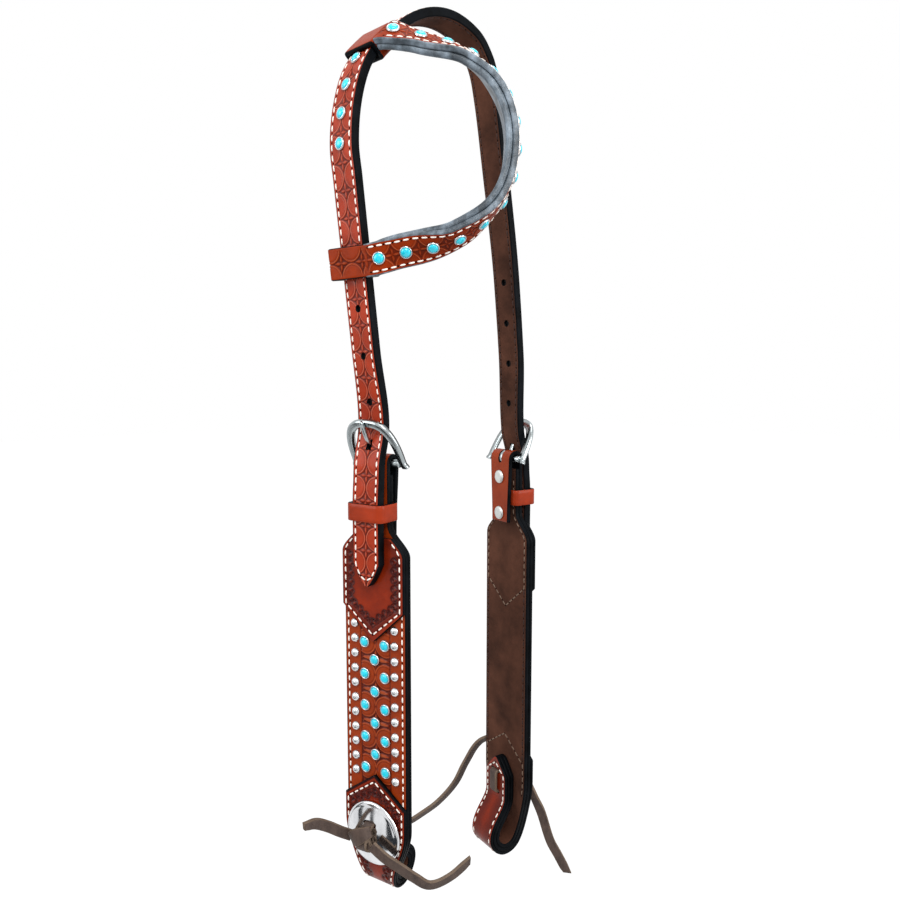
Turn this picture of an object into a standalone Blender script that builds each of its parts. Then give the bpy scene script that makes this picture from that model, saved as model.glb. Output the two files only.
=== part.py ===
"""Western one-ear headstall: a crown strap over the poll, an ear loop, and two cheeks buckled to the strap.

Metres, +Z up, +X to the front of the horse, -Y to its near (left) side. The origin is the underside of the
crown strap at its highest point, where the headstall rests on the poll.
"""

import math

import bmesh
import bpy
from mathutils import Matrix, Vector

# Clearances and leather
FIT = 0.0003
CUT_OVERRUN = 0.004
EDGE_ROUND = 0.0007
ROUTE_STEP = 0.011

# Crown strap
STRAP_WIDTH = 0.019
STRAP_FACE = 0.0026
STRAP_LINING = 0.0021
BILLET_POINT = 0.013
BILLET_DROP = 0.069
POINT_HALF = 0.0011
HOLE_DIAMETER = 0.004
HOLE_PITCH = 0.0254
HOLES_A_SIDE = 4
CROWN_HEIGHT = 0.2464
FAR_EXTRA_DROP = 0.005
NEAR_SPREAD = 0.0449
FAR_SPREAD = 0.0566
NEAR_SETBACK = 0.0031
FAR_SETBACK = 0.0013
NEAR_TWIST = 15.0
FAR_TWIST = -9.0
STRAP_TWIST = 5.0

# Ear band and its sleeves
EAR_WIDTH = 0.017
EAR_FACE = 0.0031
EAR_LINING = 0.0031
EAR_REACH = 0.0788
EAR_HEIGHT = 0.1136
EAR_BOW = 0.0066
EAR_AZIMUTH = 48.0
SLEEVE_WALL = 0.0024
SLEEVE_SLACK = 0.0005
SLEEVE_SIDE_SLACK = 0.0007
SLEEVE_OPEN = 0.0042
SLEEVE_LENGTH = 0.0168
SLEEVE_ROUND = 0.0022
LOWER_SLEEVE_DROP = 0.1374
UPPER_SLEEVE_LIFT = 0.0045

# Buckle
BAR_RADIUS = 0.0023
BAR_PLAY = 0.0004
FRAME_WIDTH = 0.037
FRAME_HEIGHT = 0.0275
FRAME_HEEL = 0.0025
FRAME_RIM = 0.0046
FRAME_THICK = 0.0026
FRAME_LEAN = 28.0
ARCH_SHOULDER_SHARE = 0.84
ARCH_WIDE_POWER = 0.7
ARCH_TALL_POWER = 0.75
HEEL_DRAW = 0.0022
TONGUE_WIDTH = 0.0028
TONGUE_THICK = 0.0022
TONGUE_EYE = 0.0016
TONGUE_EYE_PLAY = 0.0003
TONGUE_SIDE_PLAY = 0.0005
TONGUE_SWEEP = 0.0020
TONGUE_CROSSING_SHARE = 0.36

# Cheek
NECK_WIDTH = 0.0205
CHEEK_WIDTH = 0.044
CHEEK_FACE = 0.0026
CHEEK_BACKING = 0.0022
OVERLAY = 0.0018
TAB_LENGTH = 0.041
TAB_END_WIDTH = 0.017
BACKING_TOP = 0.0065
FLARE_TOP = 0.035
FLARE_BOTTOM = 0.052
SCREW_UPPER = 0.012
SCREW_LOWER = 0.0355
SCREW_SHAFT = 0.004
SCREW_HEAD = 0.0085
SCREW_HEAD_THICK = 0.0011
KEEPER_HEIGHT = 0.010
KEEPER_THICK = 0.002
KEEPER_SIDE_PLAY = 0.0005
KEEPER_NEAR_DROP = 0.027
KEEPER_FAR_DROP = 0.025
UPPER_OVERLAY_TOP = 0.0415
UPPER_OVERLAY_SHOULDER = 0.082
UPPER_OVERLAY_POINT = 0.102
LOWER_OVERLAY_POINT = 0.183
LOWER_OVERLAY_SHOULDER = 0.199
CONCHO_DROP = 0.217
LACE_PITCH = 0.014
TAPER_TOP = 0.213
LOOP_START = 0.226
NEAR_LOOP_BOTTOM = 0.254
FAR_LOOP_BOTTOM = 0.265
LOOP_DEPTH = 0.0165
LOOP_WIDTH = 0.022
BIT_TAB_TOP = 0.201
BIT_TAB_POINT = 0.011
CONCHO_DIAMETER = 0.038
CONCHO_DOME = 0.0036
CONCHO_SHEET = 0.0013

# Spots
STONE_SPOT = 0.007
SILVER_SPOT = 0.0052
SPOT_RISE = 0.0017
SPOT_SINK = 0.0005
STRAP_SPOT_PITCH = 0.0147
STRAP_SPOT_FIRST = 0.078
STRAP_SPOTS = 4
EAR_SPOT_PITCH = 0.0143
EAR_SPOT_FIRST = 0.0085
EAR_SPOTS = 15
STONE_ROW_FIRST = 0.104
STONE_ROW_PITCH = 0.0189
STONE_ROWS = 5
STONE_SPREAD = 0.0072
SILVER_ROW_FIRST = 0.094
SILVER_ROW_PITCH = 0.0089
SILVER_ROWS = 11
SILVER_SPREAD = 0.0143

# Laces
LACE_WIDTH = 0.0062
LACE_THICK = 0.002
LACE_SLIT_PLAY = 0.0004
KNOT_WIDTH = 0.015
KNOT_HEIGHT = 0.016
KNOT_DEPTH = 0.0072
KNOT_SIDE = 0.0035
LACE_STEP = 0.006

# Places worked out from the sizes above
STRAP_THICK = STRAP_LINING + FIT + STRAP_FACE
FOLD_INNER = BAR_RADIUS + BAR_PLAY
CHEEK_OUTER = FOLD_INNER + CHEEK_FACE
OVERLAY_OUTER = CHEEK_OUTER + FIT + OVERLAY
BILLET_INNER = OVERLAY_OUTER + 1.5 * FIT
BILLET_OUTER = BILLET_INNER + STRAP_THICK
OVER_SCREWS = CHEEK_OUTER + SCREW_HEAD_THICK + 2.5 * FIT
OVER_FOLD = CHEEK_OUTER + 2 * FIT
LEAN = math.radians(FRAME_LEAN)
ARCH_LEVEL = ARCH_SHOULDER_SHARE * (FRAME_HEIGHT - FRAME_RIM) * math.cos(LEAN)
UNDER_ARCH = ARCH_LEVEL * math.tan(LEAN) - FRAME_THICK / 2 * math.cos(LEAN) - 2 * FIT - STRAP_THICK
TONGUE_CROSSING = TONGUE_CROSSING_SHARE * FRAME_HEIGHT
EAR_THICK = EAR_FACE + FIT + EAR_LINING
LACE_SLIT = LACE_WIDTH + LACE_THICK + 2 * LACE_SLIT_PLAY
PLY_STACK = 2 * (FIT + CHEEK_BACKING) + FIT - FOLD_INNER
SIDES = {
    "near": {
        "sign": -1,
        "twist": NEAR_TWIST,
        "bar": Vector((-NEAR_SETBACK, -NEAR_SPREAD, -CROWN_HEIGHT)),
        "keeper": KEEPER_NEAR_DROP,
        "bottom": NEAR_LOOP_BOTTOM,
    },
    "far": {
        "sign": 1,
        "twist": FAR_TWIST,
        "bar": Vector((-FAR_SETBACK, FAR_SPREAD, -CROWN_HEIGHT - FAR_EXTRA_DROP)),
        "keeper": KEEPER_FAR_DROP,
        "bottom": FAR_LOOP_BOTTOM,
    },
}

# The crown's line seen from the front, as shares of each side's spread and drop, with its slope in degrees
NEAR_CROWN_SHARES = (
    (1.183, 0.746, 96.7, 1.0),
    (1.419, 0.381, 96.7, 1.0),
    (1.459, 0.317, 90.0, 0.9),
    (1.370, 0.204, 74.0, 0.6),
    (1.125, 0.1195, 46.0, 0.3),
    (0.616, 0.037, 34.0, 0.1),
)
FAR_CROWN_SHARES = (
    (0.327, 0.0185, 27.0, 0.0),
    (0.480, 0.053, 54.0, 0.0),
    (0.592, 0.127, 77.0, 0.2),
    (0.690, 0.247, 80.5, 0.3),
    (0.805, 0.398, 80.5, 0.4),
    (0.910, 0.557, 83.5, 0.5),
    (0.990, 0.736, 85.0, 0.6),
)
# The ear loop as shares of its reach, height and bow, with the tilt of its width in degrees
EAR_SHARES = (
    (0.275, 0.035, -0.55, 62.0),
    (0.618, 0.086, -1.00, 28.0),
    (0.902, 0.250, -0.85, 3.0),
    (1.000, 0.492, -0.39, 0.0),
    (0.935, 0.733, 0.06, -4.0),
    (0.703, 0.923, 0.67, -22.0),
    (0.383, 1.000, 0.90, -38.0),
)

# Laces: points through which each free end runs, in metres, from the knot to its cut tip
NEAR_LACE_LEFT = (
    (-0.0117, -0.0612, -0.4665),
    (-0.0128, -0.0680, -0.4620),
    (-0.0130, -0.0765, -0.4555),
    (-0.0113, -0.0860, -0.4492),
    (-0.0087, -0.0949, -0.4462),
)
NEAR_LACE_RIGHT = (
    (0.0068, -0.0602, -0.4650),
    (0.0140, -0.0562, -0.4706),
    (0.0197, -0.0499, -0.4766),
    (0.0238, -0.0423, -0.4840),
    (0.0281, -0.0346, -0.4897),
    (0.0343, -0.0247, -0.4861),
    (0.0405, -0.0148, -0.4770),
)
FAR_LACE_LEFT = (
    (-0.0117, 0.0752, -0.4655),
    (-0.0162, 0.0742, -0.4580),
    (-0.0240, 0.0705, -0.4535),
    (-0.0318, 0.0630, -0.4570),
    (-0.0384, 0.0560, -0.4722),
    (-0.0436, 0.0502, -0.4879),
    (-0.0510, 0.0405, -0.5016),
    (-0.0588, 0.0303, -0.5108),
    (-0.0639, 0.0216, -0.5164),
)
FAR_LACE_RIGHT = (
    (0.0033, 0.0745, -0.4757),
    (0.0068, 0.0772, -0.4860),
    (0.0095, 0.0823, -0.4992),
    (0.0125, 0.0886, -0.5209),
    (0.0157, 0.0937, -0.5327),
    (0.0194, 0.0993, -0.5460),
)

LEATHER_RED = (0.35, 0.055, 0.016)
LEATHER_TAN = (0.48, 0.11, 0.025)
LEATHER_BACK = (0.07, 0.030, 0.022)
LACE_BROWN = (0.085, 0.052, 0.040)
NICKEL = (0.75, 0.75, 0.76)


def clear_scene():
    for item in list(bpy.data.objects):
        bpy.data.objects.remove(item, do_unlink=True)


def material(name, colour, roughness, metallic=0.0):
    made = bpy.data.materials.new(name)
    made.use_nodes = True
    shader = made.node_tree.nodes["Principled BSDF"]
    shader.inputs["Base Color"].default_value = (*colour, 1.0)
    shader.inputs["Roughness"].default_value = roughness
    shader.inputs["Metallic"].default_value = metallic
    return made


def add_object(name, mesh_data, finish, parent=None):
    """One node of the part, shaded smooth across its soft edges."""
    bmesh.ops.recalc_face_normals(mesh_data, faces=mesh_data.faces)
    mesh = bpy.data.meshes.new(name)
    mesh_data.to_mesh(mesh)
    mesh_data.free()
    mesh.shade_smooth()
    mesh.set_sharp_from_angle(angle=math.radians(40.0))
    item = bpy.data.objects.new(name, mesh)
    bpy.context.scene.collection.objects.link(item)
    if finish is not None:
        mesh.materials.append(finish)
    item.parent = parent
    return item


def use_tool(target, name, mesh_data, operation="DIFFERENCE"):
    """Cuts the target with a hidden tool, or joins the tool's bodies to it."""
    tool = add_object(target.name + "_" + name, mesh_data, None, target.parent)
    tool.hide_render = True
    tool.display_type = "WIRE"
    step = target.modifiers.new(name, "BOOLEAN")
    step.operation = operation
    step.solver = "EXACT"
    step.object = tool
    return tool


def smooth_share(share):
    share = min(max(share, 0.0), 1.0)
    return share * share * (3.0 - 2.0 * share)


def eased(knots, place):
    """A value read from knots of (place, value), easing from each to the next."""
    if place <= knots[0][0]:
        return knots[0][1]
    for (start, low), (end, high) in zip(knots, knots[1:]):
        if place <= end:
            return low + (high - low) * smooth_share((place - start) / (end - start))
    return knots[-1][1]


class Route:
    """A smooth line through controls of (point, direction, across), read by its own length."""

    samples_a_span = 24

    def __init__(self, controls):
        self.points, self.alongs, self.acrosses, self.marks = [], [], [], [0.0]
        self.lengths = [0.0]
        for (p0, d0, a0), (p1, d1, a1) in zip(controls, controls[1:]):
            reach = (p1 - p0).length
            m0, m1 = d0.normalized() * reach, d1.normalized() * reach
            for step in range(self.samples_a_span + 1):
                if step == 0 and self.points:
                    continue
                t = step / self.samples_a_span
                point = (
                    p0 * (2 * t**3 - 3 * t**2 + 1)
                    + m0 * (t**3 - 2 * t**2 + t)
                    + p1 * (3 * t**2 - 2 * t**3)
                    + m1 * (t**3 - t**2)
                )
                if self.points:
                    self.lengths.append(self.lengths[-1] + (point - self.points[-1]).length)
                along = (
                    (p0 - p1) * (6 * t**2 - 6 * t)
                    + m0 * (3 * t**2 - 4 * t + 1)
                    + m1 * (3 * t**2 - 2 * t)
                )
                self.points.append(point)
                self.alongs.append(along.normalized())
                self.acrosses.append(a0.lerp(a1, smooth_share(t)))
            self.marks.append(self.lengths[-1])
        self.length = self.lengths[-1]

    def at(self, place):
        """The point, and the along, across and out directions there."""
        place = min(max(place, 0.0), self.length)
        low, high = 0, len(self.lengths) - 1
        while high - low > 1:
            middle = (low + high) // 2
            if self.lengths[middle] <= place:
                low = middle
            else:
                high = middle
        share = (place - self.lengths[low]) / (self.lengths[high] - self.lengths[low])
        point = self.points[low].lerp(self.points[high], share)
        along = self.alongs[low].lerp(self.alongs[high], share).normalized()
        across = self.acrosses[low].lerp(self.acrosses[high], share)
        across = (across - along * across.dot(along)).normalized()
        return point, along, across, across.cross(along)


def places(start, end, step, *extra):
    """Evenly spaced places from start to end, with any extra ones between."""
    count = max(1, round(abs(end - start) / step))
    found = [start + (end - start) * i / count for i in range(count + 1)]
    found += [p for p in extra if min(start, end) < p < max(start, end)]
    kept = []
    for place in sorted(found):
        if not kept or place - kept[-1] > FIT:
            kept.append(place)
    return kept


def strip(route, stops, half_of, low, high, edge=EDGE_ROUND):
    """A leather strip along a route: low to high is its thickness, and half_of(place) half its width."""
    solid = bmesh.new()
    rings = []
    for place in stops:
        point, _, across, out = route.at(place)
        half = half_of(place)
        bevel = min(edge, half / 2)
        section = (
            (-half, low),
            (half, low),
            (half, high - bevel),
            (half - bevel, high),
            (bevel - half, high),
            (-half, high - bevel),
        )
        rings.append([solid.verts.new(point + across * u + out * n) for u, n in section])
    join_rings(solid, rings, split=True)
    return solid


def join_rings(solid, rings, closed=False, split=False):
    """Walls from ring to ring. Split walls are cut along like diagonals, so that twisted plies stay parallel."""
    pairs = list(zip(rings, rings[1:]))
    if closed:
        pairs.append((rings[-1], rings[0]))
    for first, second in pairs:
        for i in range(len(first)):
            j = (i + 1) % len(first)
            if split and i < len(first) // 2:
                solid.faces.new((first[i], first[j], second[j]))
                solid.faces.new((first[i], second[j], second[i]))
            elif split:
                solid.faces.new((first[i], first[j], second[i]))
                solid.faces.new((first[j], second[j], second[i]))
            else:
                solid.faces.new((first[i], first[j], second[j], second[i]))
    if not closed:
        solid.faces.new(rings[0][::-1])
        solid.faces.new(rings[-1])


def pointed(full, tip_length, tip_place):
    """Half widths that close to a blunt point over tip_length at tip_place."""

    def half(place):
        share = min(abs(place - tip_place) / tip_length, 1.0)
        return POINT_HALF + (full - POINT_HALF) * share**0.7

    return half


def tip_stops(tip_place, tip_length, direction):
    return [tip_place + direction * tip_length * share for share in (0.12, 0.3, 0.55, 0.8, 1.0)]


def add_prism(solid, outline, base, rise):
    """A straight body from an outline of points, along the vector rise."""
    lower = [solid.verts.new(base + p) for p in outline]
    upper = [solid.verts.new(base + p + rise) for p in outline]
    join_rings(solid, [lower, upper])


def add_cylinder(solid, centre, axis, radius, length, sides=12):
    side = axis.orthogonal().normalized()
    other = axis.normalized().cross(side)
    outline = []
    for i in range(sides):
        turn = 2 * math.pi * (i + 0.5) / sides
        outline.append(side * radius * math.cos(turn) + other * radius * math.sin(turn))
    add_prism(solid, outline, centre - axis.normalized() * length / 2, axis.normalized() * length)


def add_slot(solid, centre, axis, long_way, length, width, depth, sides=4):
    """An oblong body: round ends of the given width, length over all along long_way."""
    axis, long_way = axis.normalized(), long_way.normalized()
    short_way = axis.cross(long_way)
    radius = width / 2
    outline = []
    for end in (1, -1):
        for i in range(sides + 1):
            turn = math.pi * (i / sides - 0.5)
            outline.append(
                long_way * end * (length / 2 - radius + radius * math.cos(turn))
                + short_way * end * radius * math.sin(turn)
            )
    add_prism(solid, outline, centre - axis * depth / 2, axis * depth)


def add_dome(solid, point, out, across, diameter, sides=6):
    """A low dome whose foot is sunk in the leather, so that the two join."""
    other = out.cross(across)
    rings = []
    for share, level in ((1.06, -SPOT_SINK), (0.62, SPOT_RISE)):
        ring = []
        for i in range(sides):
            turn = 2 * math.pi * i / sides
            spoke = across * math.cos(turn) + other * math.sin(turn)
            ring.append(solid.verts.new(point + out * level + spoke * share * diameter / 2))
        rings.append(ring)
    join_rings(solid, rings)


def crown_route():
    """The strap's underside from the near billet's tip, over the crown, to the far billet's tip."""
    controls = []
    for side in ("near", "far"):
        values = SIDES[side]
        spread, drop = abs(values["bar"].y), -values["bar"].z
        shares = NEAR_CROWN_SHARES if side == "near" else FAR_CROWN_SHARES
        crown, buckle = [], []
        for y_share, z_share, slope, twist_share in shares:
            point = Vector((0, values["sign"] * spread * y_share, -drop * z_share))
            rise = math.radians(slope)
            heading = Vector((0, -values["sign"] * math.cos(rise), math.sin(rise)))
            crown.append((point, heading, across_at(-values["sign"] * STRAP_TWIST * twist_share)))
        frame = side_matrix(side)
        across = across_at(values["twist"])
        fall = (OVER_FOLD - UNDER_ARCH) / ARCH_LEVEL
        levels = (
            (BILLET_INNER, -BILLET_DROP, 0.0),
            (BILLET_INNER, -UPPER_OVERLAY_TOP, 0.0),
            (OVER_SCREWS, -SCREW_UPPER, -fall / 2),
            (OVER_FOLD, BAR_RADIUS, -fall),
            (UNDER_ARCH, ARCH_LEVEL, -fall / 2),
        )
        for out, level, lean in levels:
            point = frame @ Vector((0, out, level))
            heading = frame.to_3x3() @ Vector((0, lean, 1))
            buckle.append((point, heading, across))
        if side == "near":
            controls = buckle + crown
            controls.append((Vector((0, 0, 0)), Vector((0, 1, 0)), Vector((1, 0, 0))))
        else:
            for point, heading, turned in crown + buckle[::-1]:
                controls.append((point, -heading, turned))
    return Route(controls)


def across_at(twist):
    turn = math.radians(twist)
    return Vector((math.cos(turn), math.sin(turn), 0))


def side_matrix(side):
    """From a cheek's own frame, with its origin on the buckle bar and +Y outwards, to the part's frame."""
    values = SIDES[side]
    base = math.pi if side == "near" else 0.0
    turn = base + math.radians(values["twist"])
    return Matrix.Translation(values["bar"]) @ Matrix.Rotation(turn, 4, "Z")


def place_at_level(route, side, level):
    """Where the strap passes a level of a cheek's frame."""
    frame = side_matrix(side).inverted()
    start, end = (0.0, route.length / 2) if side == "near" else (route.length, route.length / 2)
    for _ in range(40):
        middle = (start + end) / 2
        if (frame @ route.at(middle)[0]).z < level:
            start = middle
        else:
            end = middle
    return (start + end) / 2


def tongue_path():
    """The tongue's middle line in the cheek's frame: out of the fold, through the strap, onto the arch."""
    up = Vector((0, math.sin(LEAN), math.cos(LEAN)))
    front = Vector((0, math.cos(LEAN), -math.sin(LEAN)))
    stand = (FRAME_THICK + TONGUE_THICK) / 2 + FIT
    eye = FOLD_INNER + TONGUE_EYE / 2
    start = Vector((0, eye * math.sin(math.pi / 4), eye * math.cos(math.pi / 4)))
    through_strap = (OVER_FOLD + UNDER_ARCH + STRAP_THICK) / 2
    crossing = Vector((0, through_strap, TONGUE_CROSSING))
    landing = up * (FRAME_HEIGHT - 2.2 * FRAME_RIM) + front * stand
    rest = up * (FRAME_HEIGHT - FRAME_RIM / 2) + front * stand
    tip = up * (FRAME_HEIGHT + FRAME_RIM / 4) + front * stand
    across = Vector((1, 0, 0))
    through = Vector((0, 5.0, 6.3))
    return Route([
        (start, Vector((0, 1, 1)), across),
        (crossing, through, across),
        (landing, up + front * 0.1, across),
        (rest, up, across),
        (tip, up - front * 0.3, across),
    ])


def tongue_passage(side):
    """The room that the tongue needs in the strap, lying still and swung out."""
    path = tongue_path()
    play = TONGUE_THICK / 2 + TONGUE_SIDE_PLAY
    half = TONGUE_WIDTH / 2 + TONGUE_SIDE_PLAY
    stops = places(0.0, path.marks[2], TONGUE_THICK)
    passage = strip(path, stops, lambda _: half, -play - TONGUE_SWEEP, play)
    passage.transform(side_matrix(side))
    return passage


def build_crown_strap(route, finishes):
    tip_ends = (0.0, route.length)
    near_half = pointed(STRAP_WIDTH / 2, BILLET_POINT, tip_ends[0])
    far_half = pointed(STRAP_WIDTH / 2, BILLET_POINT, tip_ends[1])

    def half(place):
        return min(near_half(place), far_half(place))

    extra = tip_stops(0.0, BILLET_POINT, 1) + tip_stops(route.length, BILLET_POINT, -1)
    stops = places(0.0, route.length, ROUTE_STEP, *extra)
    lining = strip(route, stops, half, 0.0, STRAP_LINING, EDGE_ROUND / 2)
    face = strip(route, stops, half, STRAP_LINING + FIT, STRAP_THICK)
    lining = add_object("crown_strap_lining", lining, finishes["back"])
    face = add_object("crown_strap_face", face, finishes["red"])

    for side in SIDES:
        for ply in (lining, face):
            use_tool(ply, side + "_tongue_hole", tongue_passage(side))

    holes = bmesh.new()
    for side in SIDES:
        level = place_at_level(route, side, TONGUE_CROSSING)
        inward = 1 if side == "near" else -1
        for i in range(1, HOLES_A_SIDE + 1):
            spot, _, _, out = route.at(level + inward * i * HOLE_PITCH)
            centre = spot + out * STRAP_THICK / 2
            add_cylinder(holes, centre, out, HOLE_DIAMETER / 2, 2 * STRAP_THICK, 10)
    use_tool(face, "holes", holes.copy())
    use_tool(lining, "holes", holes)

    spots = bmesh.new()
    first = place_at_depth(route, -STRAP_SPOT_FIRST)
    for i in range(STRAP_SPOTS):
        spot, _, across, out = route.at(first + i * STRAP_SPOT_PITCH)
        add_dome(spots, spot + out * STRAP_THICK, out, across, STONE_SPOT)
    use_tool(face, "spots", spots, "UNION")


def place_at_depth(route, depth):
    """Where the near half of the strap passes a height of the part's frame."""
    start, end = 0.0, route.length / 2
    for _ in range(40):
        middle = (start + end) / 2
        if route.at(middle)[0].z < depth:
            start = middle
        else:
            end = middle
    return start


def sleeve_outline(open_extra, wall):
    """Corners of a sleeve's section round the strap, grown by wall: across and out of the strap's underside."""
    side = STRAP_WIDTH / 2 + SLEEVE_SIDE_SLACK
    corners = (
        (side + wall, -SLEEVE_SLACK - wall),
        (side + wall, STRAP_THICK + SLEEVE_SLACK + wall),
        (-side - wall, STRAP_THICK + SLEEVE_SLACK + open_extra + wall),
        (-side - wall, -SLEEVE_SLACK - wall),
    )
    radius = SLEEVE_ROUND if wall else EDGE_ROUND
    rounded = []
    for i, corner in enumerate(corners):
        here = Vector(corner)
        to_last = (Vector(corners[i - 1]) - here).normalized()
        to_next = (Vector(corners[(i + 1) % 4]) - here).normalized()
        rounded += [
            here + to_last * radius,
            here + (to_last + to_next) * radius * 0.3,
            here + to_next * radius,
        ]
    return rounded


def build_sleeve(name, route, middle, open_extra, finish):
    """A band of leather folded round the strap. Its walls follow the strap's bend."""
    solid = bmesh.new()
    outer, inner = sleeve_outline(open_extra, SLEEVE_WALL), sleeve_outline(open_extra, 0.0)
    start, end = middle - SLEEVE_LENGTH / 2, middle + SLEEVE_LENGTH / 2
    rings = []
    for place in places(start, end, SLEEVE_LENGTH / 3):
        point, _, across, out = route.at(place)
        rings.append([solid.verts.new(point + across * p.x + out * p.y) for p in outer])
    for place in places(start, end, SLEEVE_LENGTH / 3)[::-1]:
        point, _, across, out = route.at(place)
        rings.append([solid.verts.new(point + across * p.x + out * p.y) for p in inner])
    join_rings(solid, rings, closed=True)
    centre = route.at(middle)[0] + route.at(middle)[3] * STRAP_THICK / 2
    bmesh.ops.translate(solid, verts=solid.verts, vec=-centre)
    sleeve = add_object(name, solid, finish)
    sleeve.location = centre
    return sleeve


def ear_route(route, lower, upper):
    """The outer face of the ear band, from the lower sleeve round to the upper one."""
    turn = math.radians(EAR_AZIMUTH)
    aside = Vector((math.cos(turn), math.sin(turn), 0))
    away = Vector((-math.sin(turn), math.cos(turn), 0))
    end_gap = STRAP_WIDTH / 2 + SLEEVE_SIDE_SLACK + SLEEVE_WALL + FIT
    level = STRAP_THICK + SLEEVE_SLACK + SLEEVE_WALL
    point, along, across, out = route.at(lower)
    slope = SLEEVE_OPEN / STRAP_WIDTH
    start = point + across * end_gap + out * (level - slope * SLEEVE_ROUND)
    controls = [(start, across, -along)]
    middles = []
    for reach, height, bow, tilt in EAR_SHARES:
        lean = math.radians(tilt)
        place = start + aside * EAR_REACH * reach + away * EAR_BOW * bow
        place.z = start.z + EAR_HEIGHT * height
        middles.append((place, away * math.cos(lean) - Vector((0, 0, 1)) * math.sin(lean)))
    point, along, across, out = route.at(upper)
    finish = point + across * end_gap + out * level
    line = [start] + [m[0] for m in middles] + [finish]
    for i, (place, turned) in enumerate(middles, start=1):
        controls.append((place, line[i + 1] - line[i - 1], turned))
    controls.append((finish, -across, along))
    return Route(controls)


def build_ear(route, finishes):
    """The two sleeves, and the spotted band with its lining between them."""
    lower = place_at_depth(route, -LOWER_SLEEVE_DROP)
    upper = route.marks[NEAR_CONTROLS - 2] + UPPER_SLEEVE_LIFT
    build_sleeve("ear_lower_sleeve", route, lower, SLEEVE_OPEN, finishes["red"])
    build_sleeve("ear_upper_sleeve", route, upper, 0.0, finishes["red"])
    band = ear_route(route, lower, upper)
    stops = places(0.0, band.length, ROUTE_STEP * 0.8)

    def half(_):
        return EAR_WIDTH / 2

    face = add_object(
        "ear_band_face", strip(band, stops, half, -EAR_FACE, 0.0), finishes["red"]
    )
    lining = strip(band, stops, half, -EAR_THICK, -EAR_FACE - FIT, EDGE_ROUND)
    add_object("ear_band_lining", lining, finishes["back"])
    spots = bmesh.new()
    for i in range(EAR_SPOTS):
        place, _, across, out = band.at(EAR_SPOT_FIRST + i * EAR_SPOT_PITCH)
        add_dome(spots, place, out, across, STONE_SPOT)
    use_tool(face, "spots", spots, "UNION")
    return band


def cheek_route(side):
    """The flesh side of the cheek's face leather, in the cheek's frame: up the tab, over the bar, down the
    panel, round the bit loop and up its inner side."""
    bottom = -SIDES[side]["bottom"] + CHEEK_FACE + FIT + OVERLAY
    across = Vector((1, 0, 0))
    up, down = Vector((0, 0, 1)), Vector((0, 0, -1))
    controls = [(Vector((0, -FOLD_INNER, -TAB_LENGTH)), up, across)]
    for step in range(5):
        turn = math.pi * step / 4
        point = Vector((0, -math.cos(turn), math.sin(turn))) * FOLD_INNER
        controls.append((point, Vector((0, math.sin(turn), math.cos(turn))), across))
    inner_tab = -PLY_STACK
    inner_side = inner_tab - LOOP_DEPTH + CHEEK_FACE + OVERLAY + 2 * FIT
    middle = (FOLD_INNER + inner_side) / 2
    round_up = (FOLD_INNER - inner_side) / 2
    controls += [
        (Vector((0, FOLD_INNER, -LOOP_START)), down, across),
        (Vector((0, middle, bottom)), Vector((0, -1, 0)), across),
        (Vector((0, inner_side, bottom + round_up)), up, across),
        (Vector((0, inner_tab, -LOOP_START - FIT)), up, across),
        (Vector((0, inner_tab, -BIT_TAB_TOP)), up, across),
    ]
    return Route(controls)


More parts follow.
